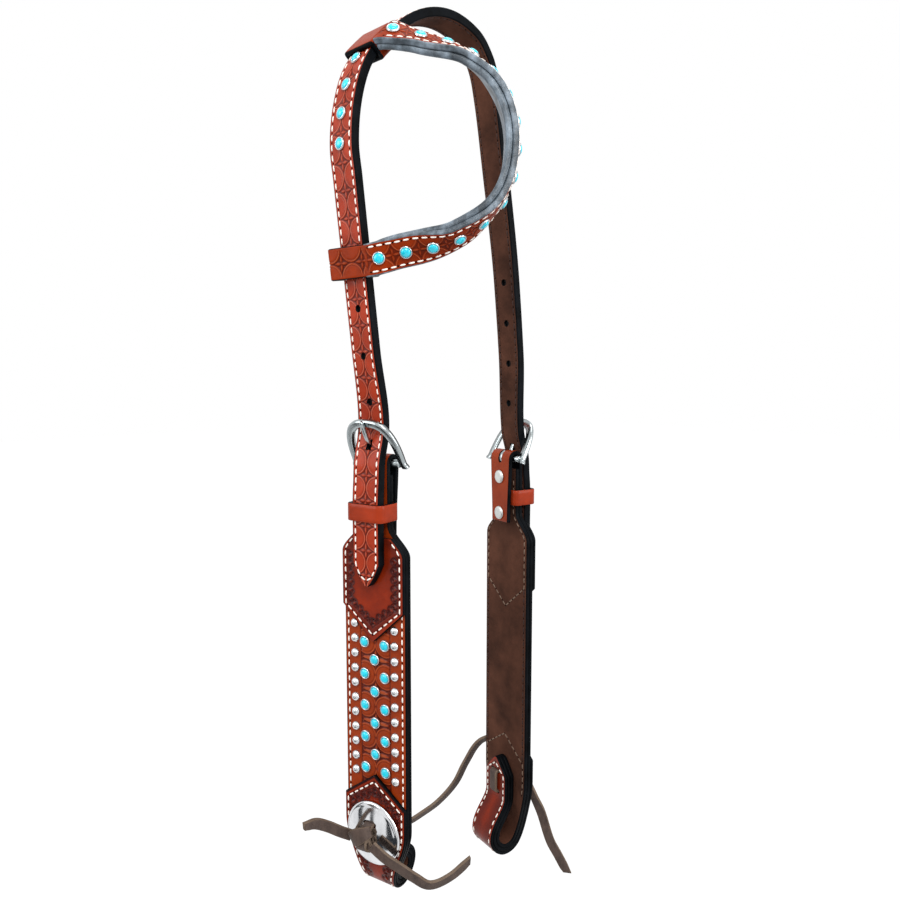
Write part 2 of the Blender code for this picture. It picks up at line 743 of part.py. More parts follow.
def build_cheek(side, empty, finishes):
    route = cheek_route(side)
    bar_top, bar_out = route.marks[3], route.marks[5]
    loop_start, loop_bottom = route.marks[6], route.marks[7]
    end = route.length
    widths = (
        (0.0, TAB_END_WIDTH / 2),
        (bar_top, NECK_WIDTH / 2),
        (bar_out + FLARE_TOP, NECK_WIDTH / 2),
        (bar_out + FLARE_BOTTOM, CHEEK_WIDTH / 2),
        (bar_out + TAPER_TOP, CHEEK_WIDTH / 2),
        (loop_bottom, LOOP_WIDTH / 2),
    )

    def leather_half(place):
        full = eased(widths, place)
        share = min(max(end - place, 0.0) / BIT_TAB_POINT, 1.0)
        return POINT_HALF + (full - POINT_HALF) * share**0.8

    fold = [route.marks[1] + (bar_out - route.marks[1]) * i / 8 for i in range(9)]
    flare = [bar_out + FLARE_TOP + (FLARE_BOTTOM - FLARE_TOP) * i / 6 for i in range(7)]
    taper_length = loop_bottom - bar_out - TAPER_TOP
    taper = [bar_out + TAPER_TOP + taper_length * i / 5 for i in range(6)]
    loop = [loop_start + (end - loop_start) * i / 26 for i in range(27)]
    tips = tip_stops(end, BIT_TAB_POINT, -1)
    straight = places(bar_out + FLARE_BOTTOM, bar_out + TAPER_TOP, 3 * ROUTE_STEP)
    stops = places(0.0, end, end, *fold, *flare, *straight, *taper, *loop, *tips)
    face = add_object(
        side + "_cheek_face",
        strip(route, stops, leather_half, 0.0, CHEEK_FACE),
        finishes["red"],
        empty,
    )

    backing_start = bar_out + BACKING_TOP
    backing_end = end - 2 * FIT
    kept = [p for p in stops if backing_start < p < backing_end]
    backing = add_object(
        side + "_cheek_backing",
        strip(route, [backing_start, *kept, backing_end], leather_half, -FIT - CHEEK_BACKING, -FIT,
              EDGE_ROUND / 2),
        finishes["back"],
        empty,
    )

    low, high = CHEEK_FACE + FIT, CHEEK_FACE + FIT + OVERLAY
    top, shoulder = bar_out + UPPER_OVERLAY_TOP, bar_out + UPPER_OVERLAY_SHOULDER
    point = bar_out + UPPER_OVERLAY_POINT

    def upper_half(place):
        share = (point - place) / (point - shoulder)
        return min(eased(widths, place), POINT_HALF + max(share, 0.0) * CHEEK_WIDTH / 2)

    upper_stops = places(top, point, ROUTE_STEP, shoulder, *flare)
    add_object(
        side + "_upper_overlay",
        strip(route, upper_stops, upper_half, low, high),
        finishes["red"],
        empty,
    )

    start, full = bar_out + LOWER_OVERLAY_POINT, bar_out + LOWER_OVERLAY_SHOULDER

    def lower_half(place):
        share = (place - start) / (full - start)
        return min(leather_half(place), POINT_HALF + max(share, 0.0) * CHEEK_WIDTH / 2)

    lower_stops = places(start, end, end, full, *[p for p in stops if p > start])
    wrap = add_object(
        side + "_lower_overlay",
        strip(route, lower_stops, lower_half, low, high),
        finishes["red"],
        empty,
    )

    out = Vector((0, 1, 0))
    screws = bmesh.new()
    for drop in (SCREW_UPPER, SCREW_LOWER):
        centre = Vector((0, 0, -drop))
        add_cylinder(screws, centre, out, SCREW_SHAFT / 2 + FIT, 4 * CHEEK_OUTER)
    use_tool(backing, "screw_holes", screws.copy())
    slits = bmesh.new()
    for level in lace_levels():
        depth = 4 * (OVERLAY_OUTER + CUT_OVERRUN)
        add_slot(slits, Vector((0, 0, level)), out, Vector((1, 0, 0)),
                 LACE_SLIT, LACE_THICK + 2 * LACE_SLIT_PLAY, depth, 2)
    for target in (face, backing, wrap):
        use_tool(target, "slits", slits.copy())
    slits.free()
    add_slot(screws, Vector((0, 0, 0)), out, Vector((0, 0, 1)),
             2 * CHEEK_OUTER + CUT_OVERRUN, TONGUE_WIDTH + 4 * TONGUE_SIDE_PLAY, 4 * CHEEK_OUTER)
    use_tool(face, "screw_holes_and_tongue_slot", screws)

    spots = bmesh.new()
    for i in range(STONE_ROWS):
        level = STONE_ROW_FIRST + i * STONE_ROW_PITCH
        rows = [(level, -STONE_SPREAD), (level, STONE_SPREAD)]
        if i < STONE_ROWS - 1:
            rows.append((level + STONE_ROW_PITCH / 2, 0.0))
        for drop, aside in rows:
            add_dome(spots, Vector((aside, CHEEK_OUTER, -drop)), out, Vector((1, 0, 0)), STONE_SPOT)
    for i in range(SILVER_ROWS):
        level = SILVER_ROW_FIRST + i * SILVER_ROW_PITCH
        for aside in (-SILVER_SPREAD, SILVER_SPREAD):
            add_dome(spots, Vector((aside, CHEEK_OUTER, -level)), out, Vector((1, 0, 0)),
                     SILVER_SPOT, 5)
    use_tool(face, "spots", spots, "UNION")
    return route


def lace_levels():
    return (-CONCHO_DROP + LACE_PITCH / 2, -CONCHO_DROP - LACE_PITCH / 2)


def build_screws(side, empty, finish):
    """Two-part screws through tab, backing and neck, with a flat round head on each side."""
    for name, drop in (("upper", SCREW_UPPER), ("lower", SCREW_LOWER)):
        profile = (
            (0.0, -CHEEK_OUTER - FIT - SCREW_HEAD_THICK),
            (SCREW_HEAD * 0.36, -CHEEK_OUTER - FIT - SCREW_HEAD_THICK),
            (SCREW_HEAD / 2, -CHEEK_OUTER - FIT - SCREW_HEAD_THICK / 3),
            (SCREW_HEAD / 2, -CHEEK_OUTER - FIT),
            (SCREW_SHAFT / 2, -CHEEK_OUTER - FIT),
            (SCREW_SHAFT / 2, CHEEK_OUTER + FIT),
            (SCREW_HEAD / 2, CHEEK_OUTER + FIT),
            (SCREW_HEAD / 2, CHEEK_OUTER + FIT + SCREW_HEAD_THICK / 2),
            (SCREW_HEAD * 0.36, CHEEK_OUTER + FIT + SCREW_HEAD_THICK),
            (0.0, CHEEK_OUTER + FIT + SCREW_HEAD_THICK),
        )
        screw = add_object(f"{side}_{name}_screw", turned_body(profile, 10), finish, empty)
        screw.location = (0, 0, -drop)


def turned_body(profile, sides):
    """A body turned about Y from (radius, height) points that start and end on the axis."""
    solid = bmesh.new()
    rings = []
    for radius, height in profile[1:-1]:
        ring = []
        for i in range(sides):
            turn = 2 * math.pi * i / sides
            ring.append(solid.verts.new((radius * math.cos(turn), height, radius * math.sin(turn))))
        rings.append(ring)
    for first, second in zip(rings, rings[1:]):
        for i in range(sides):
            j = (i + 1) % sides
            solid.faces.new((first[i], first[j], second[j], second[i]))
    for ring, (_, height) in ((rings[0], profile[0]), (rings[-1], profile[-1])):
        hub = solid.verts.new((0, height, 0))
        for i in range(sides):
            solid.faces.new((hub, ring[i], ring[(i + 1) % sides]))
    return solid


def build_buckle(side, empty, finish):
    """A horseshoe frame on its heel bar, leaning outwards over the strap."""
    solid = bmesh.new()
    steps = 22
    inner, outer = [], []
    for i in range(steps + 1):
        turn = math.pi * (i / steps) * 1.24 - math.pi * 0.12
        for ring, width, height in (
            (outer, FRAME_WIDTH, FRAME_HEIGHT),
            (inner, FRAME_WIDTH - 2 * FRAME_RIM, FRAME_HEIGHT - FRAME_RIM),
        ):
            wide = math.copysign(abs(math.cos(turn)) ** ARCH_WIDE_POWER, math.cos(turn)) * width / 2
            tall = math.sin(turn)
            if tall < 0:
                tall = tall / math.sin(math.pi * 0.12) * FRAME_HEEL
                wide += math.copysign(HEEL_DRAW * tall / FRAME_HEEL, wide)
            else:
                tall = tall**ARCH_TALL_POWER * height
            ring.append(Vector((wide, 0, tall)))
    bevel = FRAME_THICK * 0.3
    rings = []
    for one, other in zip(outer, inner):
        middle_way = (one - other).normalized() * bevel
        back, front = -FRAME_THICK / 2, FRAME_THICK / 2
        corners = (
            (one, back), (one, front - bevel), (one - middle_way, front),
            (other + middle_way, front), (other, front - bevel), (other, back),
        )
        rings.append([solid.verts.new(p + Vector((0, level, 0))) for p, level in corners])
    join_rings(solid, rings)
    bmesh.ops.transform(solid, matrix=Matrix.Rotation(-LEAN, 4, "X"), verts=solid.verts)
    frame = add_object(side + "_buckle_frame", solid, finish, empty)
    bar = bmesh.new()
    add_cylinder(bar, Vector((0, 0, 0)), Vector((1, 0, 0)), BAR_RADIUS, FRAME_WIDTH - 1.6 * FRAME_RIM, 12)
    use_tool(frame, "bar", bar, "UNION")


def build_tongue(side, empty, finish):
    """A flat-sided tongue whose eye turns on the bar."""
    path = tongue_path()
    stops = places(0.0, path.length, path.length / 12)

    def half(place):
        return TONGUE_WIDTH / 2 * (1.0 - 0.25 * smooth_share(place / path.length))

    shank = strip(path, stops, half, -TONGUE_THICK / 2, TONGUE_THICK / 2, TONGUE_THICK * 0.25)
    tongue = add_object(side + "_buckle_tongue", shank, finish, empty)
    eye = bmesh.new()
    inner = BAR_RADIUS + TONGUE_EYE_PLAY
    outer = inner + TONGUE_EYE
    rings = []
    for radius, across in ((outer, -1), (outer, 1), (inner, 1), (inner, -1)):
        ring = []
        for i in range(16):
            turn = 2 * math.pi * i / 16
            ring.append(eye.verts.new((across * TONGUE_WIDTH / 2, radius * math.cos(turn),
                                       radius * math.sin(turn))))
        rings.append(ring)
    join_rings(eye, rings, closed=True)
    use_tool(tongue, "eye", eye, "UNION")


def build_keeper(side, empty, finish):
    """A plain leather loop round neck and billet. Its inner run lies between the tab and the backing."""
    back = -KEEPER_THICK - FIT / 2
    front = BILLET_OUTER + FIT
    wide = NECK_WIDTH / 2 + KEEPER_SIDE_PLAY
    solid = bmesh.new()
    rings = []
    radius = KEEPER_THICK * 0.9
    for grow, level in ((KEEPER_THICK, -1), (KEEPER_THICK, 1), (0.0, 1), (0.0, -1)):
        corners = (
            (wide + grow, back + KEEPER_THICK - grow),
            (wide + grow, front + grow),
            (-wide - grow, front + grow),
            (-wide - grow, back + KEEPER_THICK - grow),
        )
        ring = []
        turn_in = radius if grow else EDGE_ROUND
        for i, corner in enumerate(corners):
            here = Vector(corner)
            to_last = (Vector(corners[i - 1]) - here).normalized()
            to_next = (Vector(corners[(i + 1) % 4]) - here).normalized()
            for p in (
                here + to_last * turn_in,
                here + (to_last + to_next) * turn_in * 0.3,
                here + to_next * turn_in,
            ):
                ring.append(solid.verts.new((p.x, p.y, level * KEEPER_HEIGHT / 2)))
        rings.append(ring)
    join_rings(solid, rings, closed=True)
    keeper = add_object(side + "_keeper", solid, finish, empty)
    keeper.location = (0, 0, -SIDES[side]["keeper"])


def build_concho(side, empty, finish):
    """A domed round plate with two slots for the lace."""
    radius = CONCHO_DIAMETER / 2
    seat = OVERLAY_OUTER + 1.5 * FIT
    shares = (0.0, 0.3, 0.55, 0.78, 0.93, 1.0)
    front = [(radius * s, seat + CONCHO_SHEET + CONCHO_DOME * (1 - s * s)) for s in shares]
    back = [(radius * s * 0.985, seat + CONCHO_DOME * (1 - s * s)) for s in shares]
    concho = add_object(side + "_concho", turned_body(front + back[::-1], 24), finish, empty)
    concho.location = (0, 0, -CONCHO_DROP)
    slots = bmesh.new()
    for level in lace_levels():
        add_slot(slots, Vector((0, seat, level)), Vector((0, 1, 0)), Vector((1, 0, 0)),
                 LACE_SLIT, LACE_THICK + 2 * LACE_SLIT_PLAY, 4 * CONCHO_DOME, 2)
    use_tool(concho, "slots", slots)


def knot_base():
    return OVERLAY_OUTER + CONCHO_DOME + CONCHO_SHEET + 2.5 * FIT


def build_lace(side, empty, finish):
    """The lace's bight on the inner side of the bit tab, with a leg through each slit, and the knot outside."""
    inner = -PLY_STACK - CHEEK_FACE - OVERLAY - 3 * FIT
    solid = bmesh.new()
    low, high = lace_levels()[1], lace_levels()[0]
    outer = knot_base() - FIT
    half = LACE_THICK / 2
    outline = (
        (inner - LACE_THICK, low - half),
        (inner - LACE_THICK, high + half),
        (outer, high + half),
        (outer, high - half),
        (inner, high - half),
        (inner, low + half),
        (outer, low + half),
        (outer, low - half),
    )
    points = [Vector((-LACE_WIDTH / 2, out, level)) for out, level in outline]
    add_prism(solid, points, Vector((0, 0, 0)), Vector((LACE_WIDTH, 0, 0)))
    add_object(side + "_lace_bight", solid, finish, empty)

    knot = bmesh.new()
    bmesh.ops.create_icosphere(knot, subdivisions=2, radius=0.5)
    for vert in knot.verts:
        for axis in range(3):
            vert.co[axis] = math.copysign(abs(vert.co[axis] * 2) ** 0.75, vert.co[axis]) / 2
    sign = SIDES[side]["sign"]
    bmesh.ops.scale(knot, verts=knot.verts, vec=(KNOT_WIDTH, KNOT_DEPTH, KNOT_HEIGHT))
    offset = Vector((-KNOT_SIDE * sign, knot_base() + KNOT_DEPTH / 2 + FIT, -CONCHO_DROP))
    bmesh.ops.translate(knot, verts=knot.verts, vec=offset)
    add_object(side + "_lace_knot", knot, finish, empty)


def build_lace_end(name, route_points, finish):
    """A free end of flat lace through its hand-chosen points, its tip cut on the slant."""
    points = [Vector(p) for p in route_points]
    first = (points[1] - points[0]).normalized()
    across = Vector((0, 0, 1)) if abs(first.z) < abs(first.y) else Vector((1, 0, 0))
    controls = []
    for i, point in enumerate(points):
        before, after = points[max(i - 1, 0)], points[min(i + 1, len(points) - 1)]
        along = (after - before).normalized()
        across = (across - along * across.dot(along)).normalized()
        controls.append((point, along, across))
    route = Route(controls)

    def half(place):
        left = route.length - place
        return LACE_WIDTH / 2 * min(1.0, 0.3 + 0.7 * left / LACE_WIDTH)

    stops = places(0.0, route.length, LACE_STEP)
    solid = strip(route, stops, half, -LACE_THICK / 2, LACE_THICK / 2, LACE_THICK / 4)
    add_object(name, solid, finish)
    print(name, "length", round(route.length, 4))


NEAR_CONTROLS = 5 + len(NEAR_CROWN_SHARES)


def main():
    clear_scene()
    finishes = {
        "red": material("tooled_leather", LEATHER_RED, 0.42),
        "tan": material("plain_leather", LEATHER_TAN, 0.38),
        "back": material("rough_leather", LEATHER_BACK, 0.8),
        "lace": material("lace_leather", LACE_BROWN, 0.6),
        "metal": material("nickel", NICKEL, 0.15, 1.0),
    }
    route = crown_route()
    build_crown_strap(route, finishes)
    build_ear(route, finishes)
    for side in SIDES:
        empty = bpy.data.objects.new(side + "_cheek_frame", None)
        bpy.context.scene.collection.objects.link(empty)
        empty.matrix_world = side_matrix(side)
        build_cheek(side, empty, finishes)
        build_screws(side, empty, finishes["metal"])
        build_buckle(side, empty, finishes["metal"])
        build_tongue(side, empty, finishes["metal"])
        build_keeper(side, empty, finishes["tan"])
        build_concho(side, empty, finishes["metal"])
        build_lace(side, empty, finishes["lace"])
    build_lace_end("near_lace_left_end", NEAR_LACE_LEFT, finishes["lace"])
    build_lace_end("near_lace_right_end", NEAR_LACE_RIGHT, finishes["lace"])
    build_lace_end("far_lace_left_end", FAR_LACE_LEFT, finishes["lace"])
    build_lace_end("far_lace_right_end", FAR_LACE_RIGHT, finishes["lace"])


main()
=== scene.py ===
"""Looks of the one-ear western headstall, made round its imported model.

Metres, +Z up, +X to the front of the horse, -Y to its near side. The lines of the leather repeat those of the
part's source, so that each dressed strap lies where its solid lies.
"""

import math

import bpy
import numpy as np
from mathutils import Matrix, Vector


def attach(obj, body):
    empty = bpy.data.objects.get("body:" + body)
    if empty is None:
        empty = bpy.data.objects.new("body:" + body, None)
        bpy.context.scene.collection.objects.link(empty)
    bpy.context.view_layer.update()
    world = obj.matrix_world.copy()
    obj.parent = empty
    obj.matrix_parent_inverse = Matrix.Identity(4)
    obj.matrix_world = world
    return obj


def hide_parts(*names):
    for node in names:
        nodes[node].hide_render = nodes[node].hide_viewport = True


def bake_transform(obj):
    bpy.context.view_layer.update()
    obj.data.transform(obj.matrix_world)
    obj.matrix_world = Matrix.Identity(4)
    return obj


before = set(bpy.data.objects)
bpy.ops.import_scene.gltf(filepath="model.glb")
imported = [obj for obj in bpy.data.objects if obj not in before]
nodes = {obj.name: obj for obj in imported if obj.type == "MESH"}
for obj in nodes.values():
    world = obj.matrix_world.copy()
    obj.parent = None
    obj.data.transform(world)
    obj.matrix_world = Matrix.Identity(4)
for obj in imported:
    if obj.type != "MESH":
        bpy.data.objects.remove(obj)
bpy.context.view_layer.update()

# Sizes that the part's source gives
FIT = 0.0003
STRAP_WIDTH = 0.019
STRAP_THICK = 0.005
BILLET_POINT = 0.013
BILLET_DROP = 0.069
POINT_HALF = 0.0011
HOLE, HOLE_PITCH = 0.0042, 0.0254
TONGUE_WIDE, TONGUE_THICK, TONGUE_PLAY, TONGUE_SWEEP = 0.0028, 0.0022, 0.0005, 0.0020
BAR = {"near": (-0.0031, -0.0449, -0.2464), "far": (-0.0013, 0.0566, -0.2514)}
SIGN = {"near": -1, "far": 1}
TWIST = {"near": 15.0, "far": -9.0}
LOOP_BOTTOM = {"near": 0.254, "far": 0.265}
KEEPER_DROP = {"near": 0.027, "far": 0.025}
STRAP_TWIST = 5.0
BAR_RADIUS = 0.0023
FOLD_INNER = 0.0027
FACE = 0.0026
BACKING = 0.0022
OVERLAY = 0.0018
CHEEK_OUTER = FOLD_INNER + FACE
OVERLAY_OUTER = CHEEK_OUTER + FIT + OVERLAY
BILLET_INNER = OVERLAY_OUTER + 1.5 * FIT
BILLET_OUTER = BILLET_INNER + STRAP_THICK
SCREW_PROUD = 0.0011
OVER_SCREWS = CHEEK_OUTER + SCREW_PROUD + 2.5 * FIT
OVER_FOLD = CHEEK_OUTER + 2 * FIT
LEAN = math.radians(28.0)
FRAME_WIDTH, FRAME_HEIGHT, FRAME_RIM, FRAME_THICK = 0.037, 0.0275, 0.0046, 0.0026
ARCH_LEVEL = 0.84 * (FRAME_HEIGHT - FRAME_RIM) * math.cos(LEAN)
UNDER_ARCH = ARCH_LEVEL * math.tan(LEAN) - FRAME_THICK / 2 * math.cos(LEAN) - 2 * FIT - STRAP_THICK
TONGUE_CROSSING = 0.36 * FRAME_HEIGHT
PLY_STACK = 2 * (FIT + BACKING) + FIT - FOLD_INNER
CHEEK_WIDTH, NECK_WIDTH = 0.044, 0.0205
CONCHO_DROP, LACE_PITCH = 0.217, 0.014
FIRST_STONE, STONE_PITCH, STONE_ASIDE = 0.104, 0.0189, 0.0072
FIRST_DOME, DOME_PITCH, DOME_ASIDE = 0.094, 0.0089, 0.0143
TAB_LONG, LOOP_START, LOOP_TIP, LOOP_GAP = 0.041, 0.226, 0.201, 0.0165
UPPER_TOP, UPPER_SHOULDER, UPPER_POINT = 0.0415, 0.082, 0.102
LOWER_POINT, LOWER_SHOULDER = 0.183, 0.199
NECK_END, FULL_WIDTH, FIELD_START, FIELD_END = 0.035, 0.052, 0.080, 0.204
TAB_HALF, LOOP_NARROWS, LOOP_HALF, LOOP_POINT = 0.0085, 0.213, 0.011, 0.011
TONGUE_SLOT_LONG, TONGUE_SLOT_WIDE, TONGUE_SLOT_UP = 0.0092, 0.0034, 0.0017
CROWN_SPOT_LEVEL, CROWN_SPOT_PITCH = -0.078, 0.0147
LOWER_SLEEVE_LEVEL, UPPER_SLEEVE_PAST = -0.1374, 0.0045
SLEEVE_LONG, SLEEVE_THICK, SLEEVE_SIDE, SLEEVE_SLACK = 0.0168, 0.0024, 0.0007, 0.0005
SLEEVE_SWELL, SLEEVE_SINK, SLEEVE_ROUND = 0.0042, 0.0022, 0.0022
SLEEVE_JOIN_ROUND, SLEEVE_INNER_ROUND = 0.0003, 0.0007
EAR_REACH, EAR_BOW, EAR_HEIGHT, EAR_TURN = 0.0788, 0.0066, 0.1136, 48.0
EAR_HALF, EAR_FACE, EAR_DEEP = 0.0085, 0.0031, 0.0069
EAR_SPOT_FIRST, EAR_SPOT_PITCH, EAR_SPOTS = 0.0085, 0.0143, 15
KEEPER_LONG, KEEPER_THICK = 0.010, 0.002
SCREW_DROP = {"upper": 0.012, "lower": 0.0355}
SCREW_RADIUS, SCREW_SHANK = 0.00425, 0.002
CONCHO_RADIUS, CONCHO_DOME, CONCHO_SHEET = 0.019, 0.0036, 0.0013
STONE_RADIUS, DOME_RADIUS = 0.0034, 0.00262

NEAR_CROWN = (
    (1.183, 0.746, 96.7, 1.0),
    (1.419, 0.381, 96.7, 1.0),
    (1.459, 0.317, 90.0, 0.9),
    (1.370, 0.204, 74.0, 0.6),
    (1.125, 0.1195, 46.0, 0.3),
    (0.616, 0.037, 34.0, 0.1),
)
FAR_CROWN = (
    (0.327, 0.0185, 27.0, 0.0),
    (0.480, 0.053, 54.0, 0.0),
    (0.592, 0.127, 77.0, 0.2),
    (0.690, 0.247, 80.5, 0.3),
    (0.805, 0.398, 80.5, 0.4),
    (0.910, 0.557, 83.5, 0.5),
    (0.990, 0.736, 85.0, 0.6),
)
EAR = (
    (0.275, 0.035, -0.55, 62.0),
    (0.618, 0.086, -1.00, 28.0),
    (0.902, 0.250, -0.85, 3.0),
    (1.000, 0.492, -0.39, 0.0),
    (0.935, 0.733, 0.06, -4.0),
    (0.703, 0.923, 0.67, -22.0),
    (0.383, 1.000, 0.90, -38.0),
)
LACES = {
    "near_lace_left_end": (
        (-0.0117, -0.0612, -0.4665), (-0.0128, -0.0680, -0.4620), (-0.0130, -0.0765, -0.4555),
        (-0.0113, -0.0860, -0.4492), (-0.0087, -0.0949, -0.4462),
    ),
    "near_lace_right_end": (
        (0.0068, -0.0602, -0.4650), (0.0140, -0.0562, -0.4706), (0.0197, -0.0499, -0.4766),
        (0.0238, -0.0423, -0.4840), (0.0281, -0.0346, -0.4897), (0.0343, -0.0247, -0.4861),
        (0.0405, -0.0148, -0.4770),
    ),
    "far_lace_left_end": (
        (-0.0117, 0.0752, -0.4655), (-0.0162, 0.0742, -0.4580), (-0.0240, 0.0705, -0.4535),
        (-0.0318, 0.0630, -0.4570), (-0.0384, 0.0560, -0.4722), (-0.0436, 0.0502, -0.4879),
        (-0.0510, 0.0405, -0.5016), (-0.0588, 0.0303, -0.5108), (-0.0639, 0.0216, -0.5164),
    ),
    "far_lace_right_end": (
        (0.0033, 0.0745, -0.4757), (0.0068, 0.0772, -0.4860), (0.0095, 0.0823, -0.4992),
        (0.0125, 0.0886, -0.5209), (0.0157, 0.0937, -0.5327), (0.0194, 0.0993, -0.5460),
    ),
}
LACE_WIDTH, LACE_THICK = 0.0062, 0.002
SLIT_ROOM = 0.0008
SLIT_LONG, SLIT_WIDE = LACE_WIDTH + LACE_THICK + SLIT_ROOM, LACE_THICK + SLIT_ROOM
SLIT_LEVELS = (-CONCHO_DROP + LACE_PITCH / 2, -CONCHO_DROP - LACE_PITCH / 2)
LACE_LAY = {
    "near_lace_left_end": "loose",
    "near_lace_right_end": "loose",
    "far_lace_left_end": "loose",
    "far_lace_right_end": "hanging",
}
LACE_TWIST = {
    "near_lace_left_end": 0.0,
    "near_lace_right_end": 0.0,
    "far_lace_left_end": 0.0,
    "far_lace_right_end": -48.0,
}

# Sizes of the finish
STITCH_PITCH, STITCH_LONG, STITCH_WIDE = 0.0047, 0.0035, 0.00095
FINE, COARSE, LINING_STEP = 0.0005, 0.0012, 0.0015
EDGE_INSET = 0.0024
SOFT_EDGE, LACE_EDGE, SLEEVE_EDGE, PAD_EDGE = 0.0008, 0.0004, 0.0007, 0.0016
SHELL_INSET, FACE_SEAM, POINT_SEAM, POINT_SEAM_TIP = 0.0042, 0.0027, 0.0024, 0.0034
TOOLING_PITCH, TOOLING_START, LOBE_REACH, EAR_LOBE_REACH = 0.014, 0.0065, 0.0064, 0.0056
DISC_ASIDE, DISC_RADIUS, CUT_LINE = 0.0070, 0.0078, 0.0105


def camera():
    """The photograph's view: from the near side's front, a little above the middle."""
    pitch, azimuth = math.radians(6.0), math.radians(48.0)
    level = Vector((-math.sin(azimuth), math.cos(azimuth), 0))
    forward = level * math.cos(pitch) - Vector((0, 0, 1)) * math.sin(pitch)
    up = level * math.sin(pitch) + Vector((0, 0, 1)) * math.cos(pitch)
    right = forward.cross(up)
    lens = bpy.data.cameras.new("photo_camera")
    lens.sensor_width, lens.lens = 36.0, 32.0
    item = bpy.data.objects.new("photo_camera", lens)
    turn = Matrix((right, up, -forward)).transposed()
    item.matrix_world = Matrix.Translation((0.3568, -0.3151, -0.1924)) @ turn.to_4x4()
    bpy.context.scene.collection.objects.link(item)
    bpy.context.scene.camera = item


# Lines


def unit(vectors):
    return vectors / np.maximum(np.linalg.norm(vectors, axis=-1, keepdims=True), 1e-12)


def ease(share):
    share = np.clip(share, 0.0, 1.0)
    return share * share * (3.0 - 2.0 * share)


def eased(knots, places):
    """Values at the places, easing from each knot of (place, value) to the next."""
    places = np.asarray(places, float)
    value = np.full(places.shape, knots[0][1])
    for (start, low), (end, high) in zip(knots, knots[1:]):
        value = np.where(places > start, low + (high - low) * ease((places - start) / (end - start)), value)
    return value


class Line:
    """A smooth line through controls of (point, direction, across), read by its length."""

    def __init__(self, controls):
        controls = [tuple(np.array(tuple(v), float) for v in control) for control in controls]
        points, alongs, acrosses, ends = [], [], [], [0]
        for (p0, d0, a0), (p1, d1, a1) in zip(controls, controls[1:]):
            t = np.linspace(0, 1, 25)[1 if points else 0:, None]
            reach = np.linalg.norm(p1 - p0)
            m0, m1 = unit(d0) * reach, unit(d1) * reach
            points.append(
                p0 * (2 * t**3 - 3 * t**2 + 1) + m0 * (t**3 - 2 * t**2 + t)
                + p1 * (3 * t**2 - 2 * t**3) + m1 * (t**3 - t**2)
            )
            alongs.append(
                (p0 - p1) * (6 * t**2 - 6 * t) + m0 * (3 * t**2 - 4 * t + 1) + m1 * (3 * t**2 - 2 * t)
            )
            acrosses.append(a0 + (a1 - a0) * ease(t))
            ends.append(ends[-1] + len(t) if ends[-1] else len(t) - 1)
        self.points = np.concatenate(points)
        self.alongs = unit(np.concatenate(alongs))
        self.acrosses = np.concatenate(acrosses)
        steps = np.linalg.norm(np.diff(self.points, axis=0), axis=1)
        self.lengths = np.concatenate([[0.0], np.cumsum(steps)])
        self.marks = self.lengths[ends]
        self.length = self.lengths[-1]

    def at(self, places):
        """Points, and the along, across and out directions, at an array of places."""
        places = np.clip(np.asarray(places, float), 0.0, self.length)

        def read(table):
            return np.stack([np.interp(places, self.lengths, table[:, k]) for k in range(3)], -1)

        point, along = read(self.points), unit(read(self.alongs))
        across = read(self.acrosses)
        across = unit(across - along * (across * along).sum(-1, keepdims=True))
        return point, along, across, np.cross(across, along)

    def on(self, places, aside, level):
        point, _, across, out = self.at(places)
        return point + across * np.asarray(aside)[..., None] + out * np.asarray(level)[..., None]


def stations(start, end, step):
    return np.linspace(start, end, max(2, int(round(abs(end - start) / step)) + 1))


def across_at(twist):
    turn = math.radians(twist)
    return Vector((math.cos(turn), math.sin(turn), 0))


def side_matrix(side):
    base = math.pi if side == "near" else 0.0
    turn = base + math.radians(TWIST[side])
    return Matrix.Translation(BAR[side]) @ Matrix.Rotation(turn, 4, "Z")


def side_point(side, across, out, up):
    """A point of a side's own frame, as a row."""
    return np.array([tuple(side_matrix(side) @ Vector((across, out, up)))])


def side_ways(side):
    """The up, across and out ways of a side, as rows."""
    turn = side_matrix(side).to_3x3()
    return [np.array([tuple(turn @ Vector(way))]) for way in ((0, 0, 1), (1, 0, 0), (0, 1, 0))]


def moved(controls, matrix):
    turn = matrix.to_3x3()
    return [(matrix @ p, turn @ d, turn @ a) for p, d, a in controls]


def crown_line():
    controls = []
    for side in ("near", "far"):
        sign, bar = SIGN[side], Vector(BAR[side])
        spread, drop = abs(bar.y), -bar.z
        crown = []
        for y_share, z_share, slope, twist_share in NEAR_CROWN if side == "near" else FAR_CROWN:
            rise = math.radians(slope)
            crown.append((
                Vector((0, sign * spread * y_share, -drop * z_share)),
                Vector((0, -sign * math.cos(rise), math.sin(rise))),
                across_at(-sign * STRAP_TWIST * twist_share),
            ))
        fall = (OVER_FOLD - UNDER_ARCH) / ARCH_LEVEL
        levels = (
            (BILLET_INNER, -BILLET_DROP, 0.0),
            (BILLET_INNER, -0.0415, 0.0),
            (OVER_SCREWS, -0.012, -fall / 2),
            (OVER_FOLD, BAR_RADIUS, -fall),
            (UNDER_ARCH, ARCH_LEVEL, -fall / 2),
        )
        place = side_matrix(side)
        turned = across_at(TWIST[side])
        buckle = [(place @ Vector((0, out, level)), place.to_3x3() @ Vector((0, lean, 1)), turned)
                  for out, level, lean in levels]
        if side == "near":
            controls = buckle + crown
            controls.append((Vector((0, 0, 0)), Vector((0, 1, 0)), Vector((1, 0, 0))))
        else:
            controls += [(point, -heading, turn) for point, heading, turn in crown + buckle[::-1]]
    return Line(controls)


def place_where(line, start, end, low):
    """The place between start and end where low(point) stops being true."""
    for _ in range(40):
        middle = (start + end) / 2
        if low(Vector(line.at(middle)[0])):
            start = middle
        else:
            end = middle
    return start


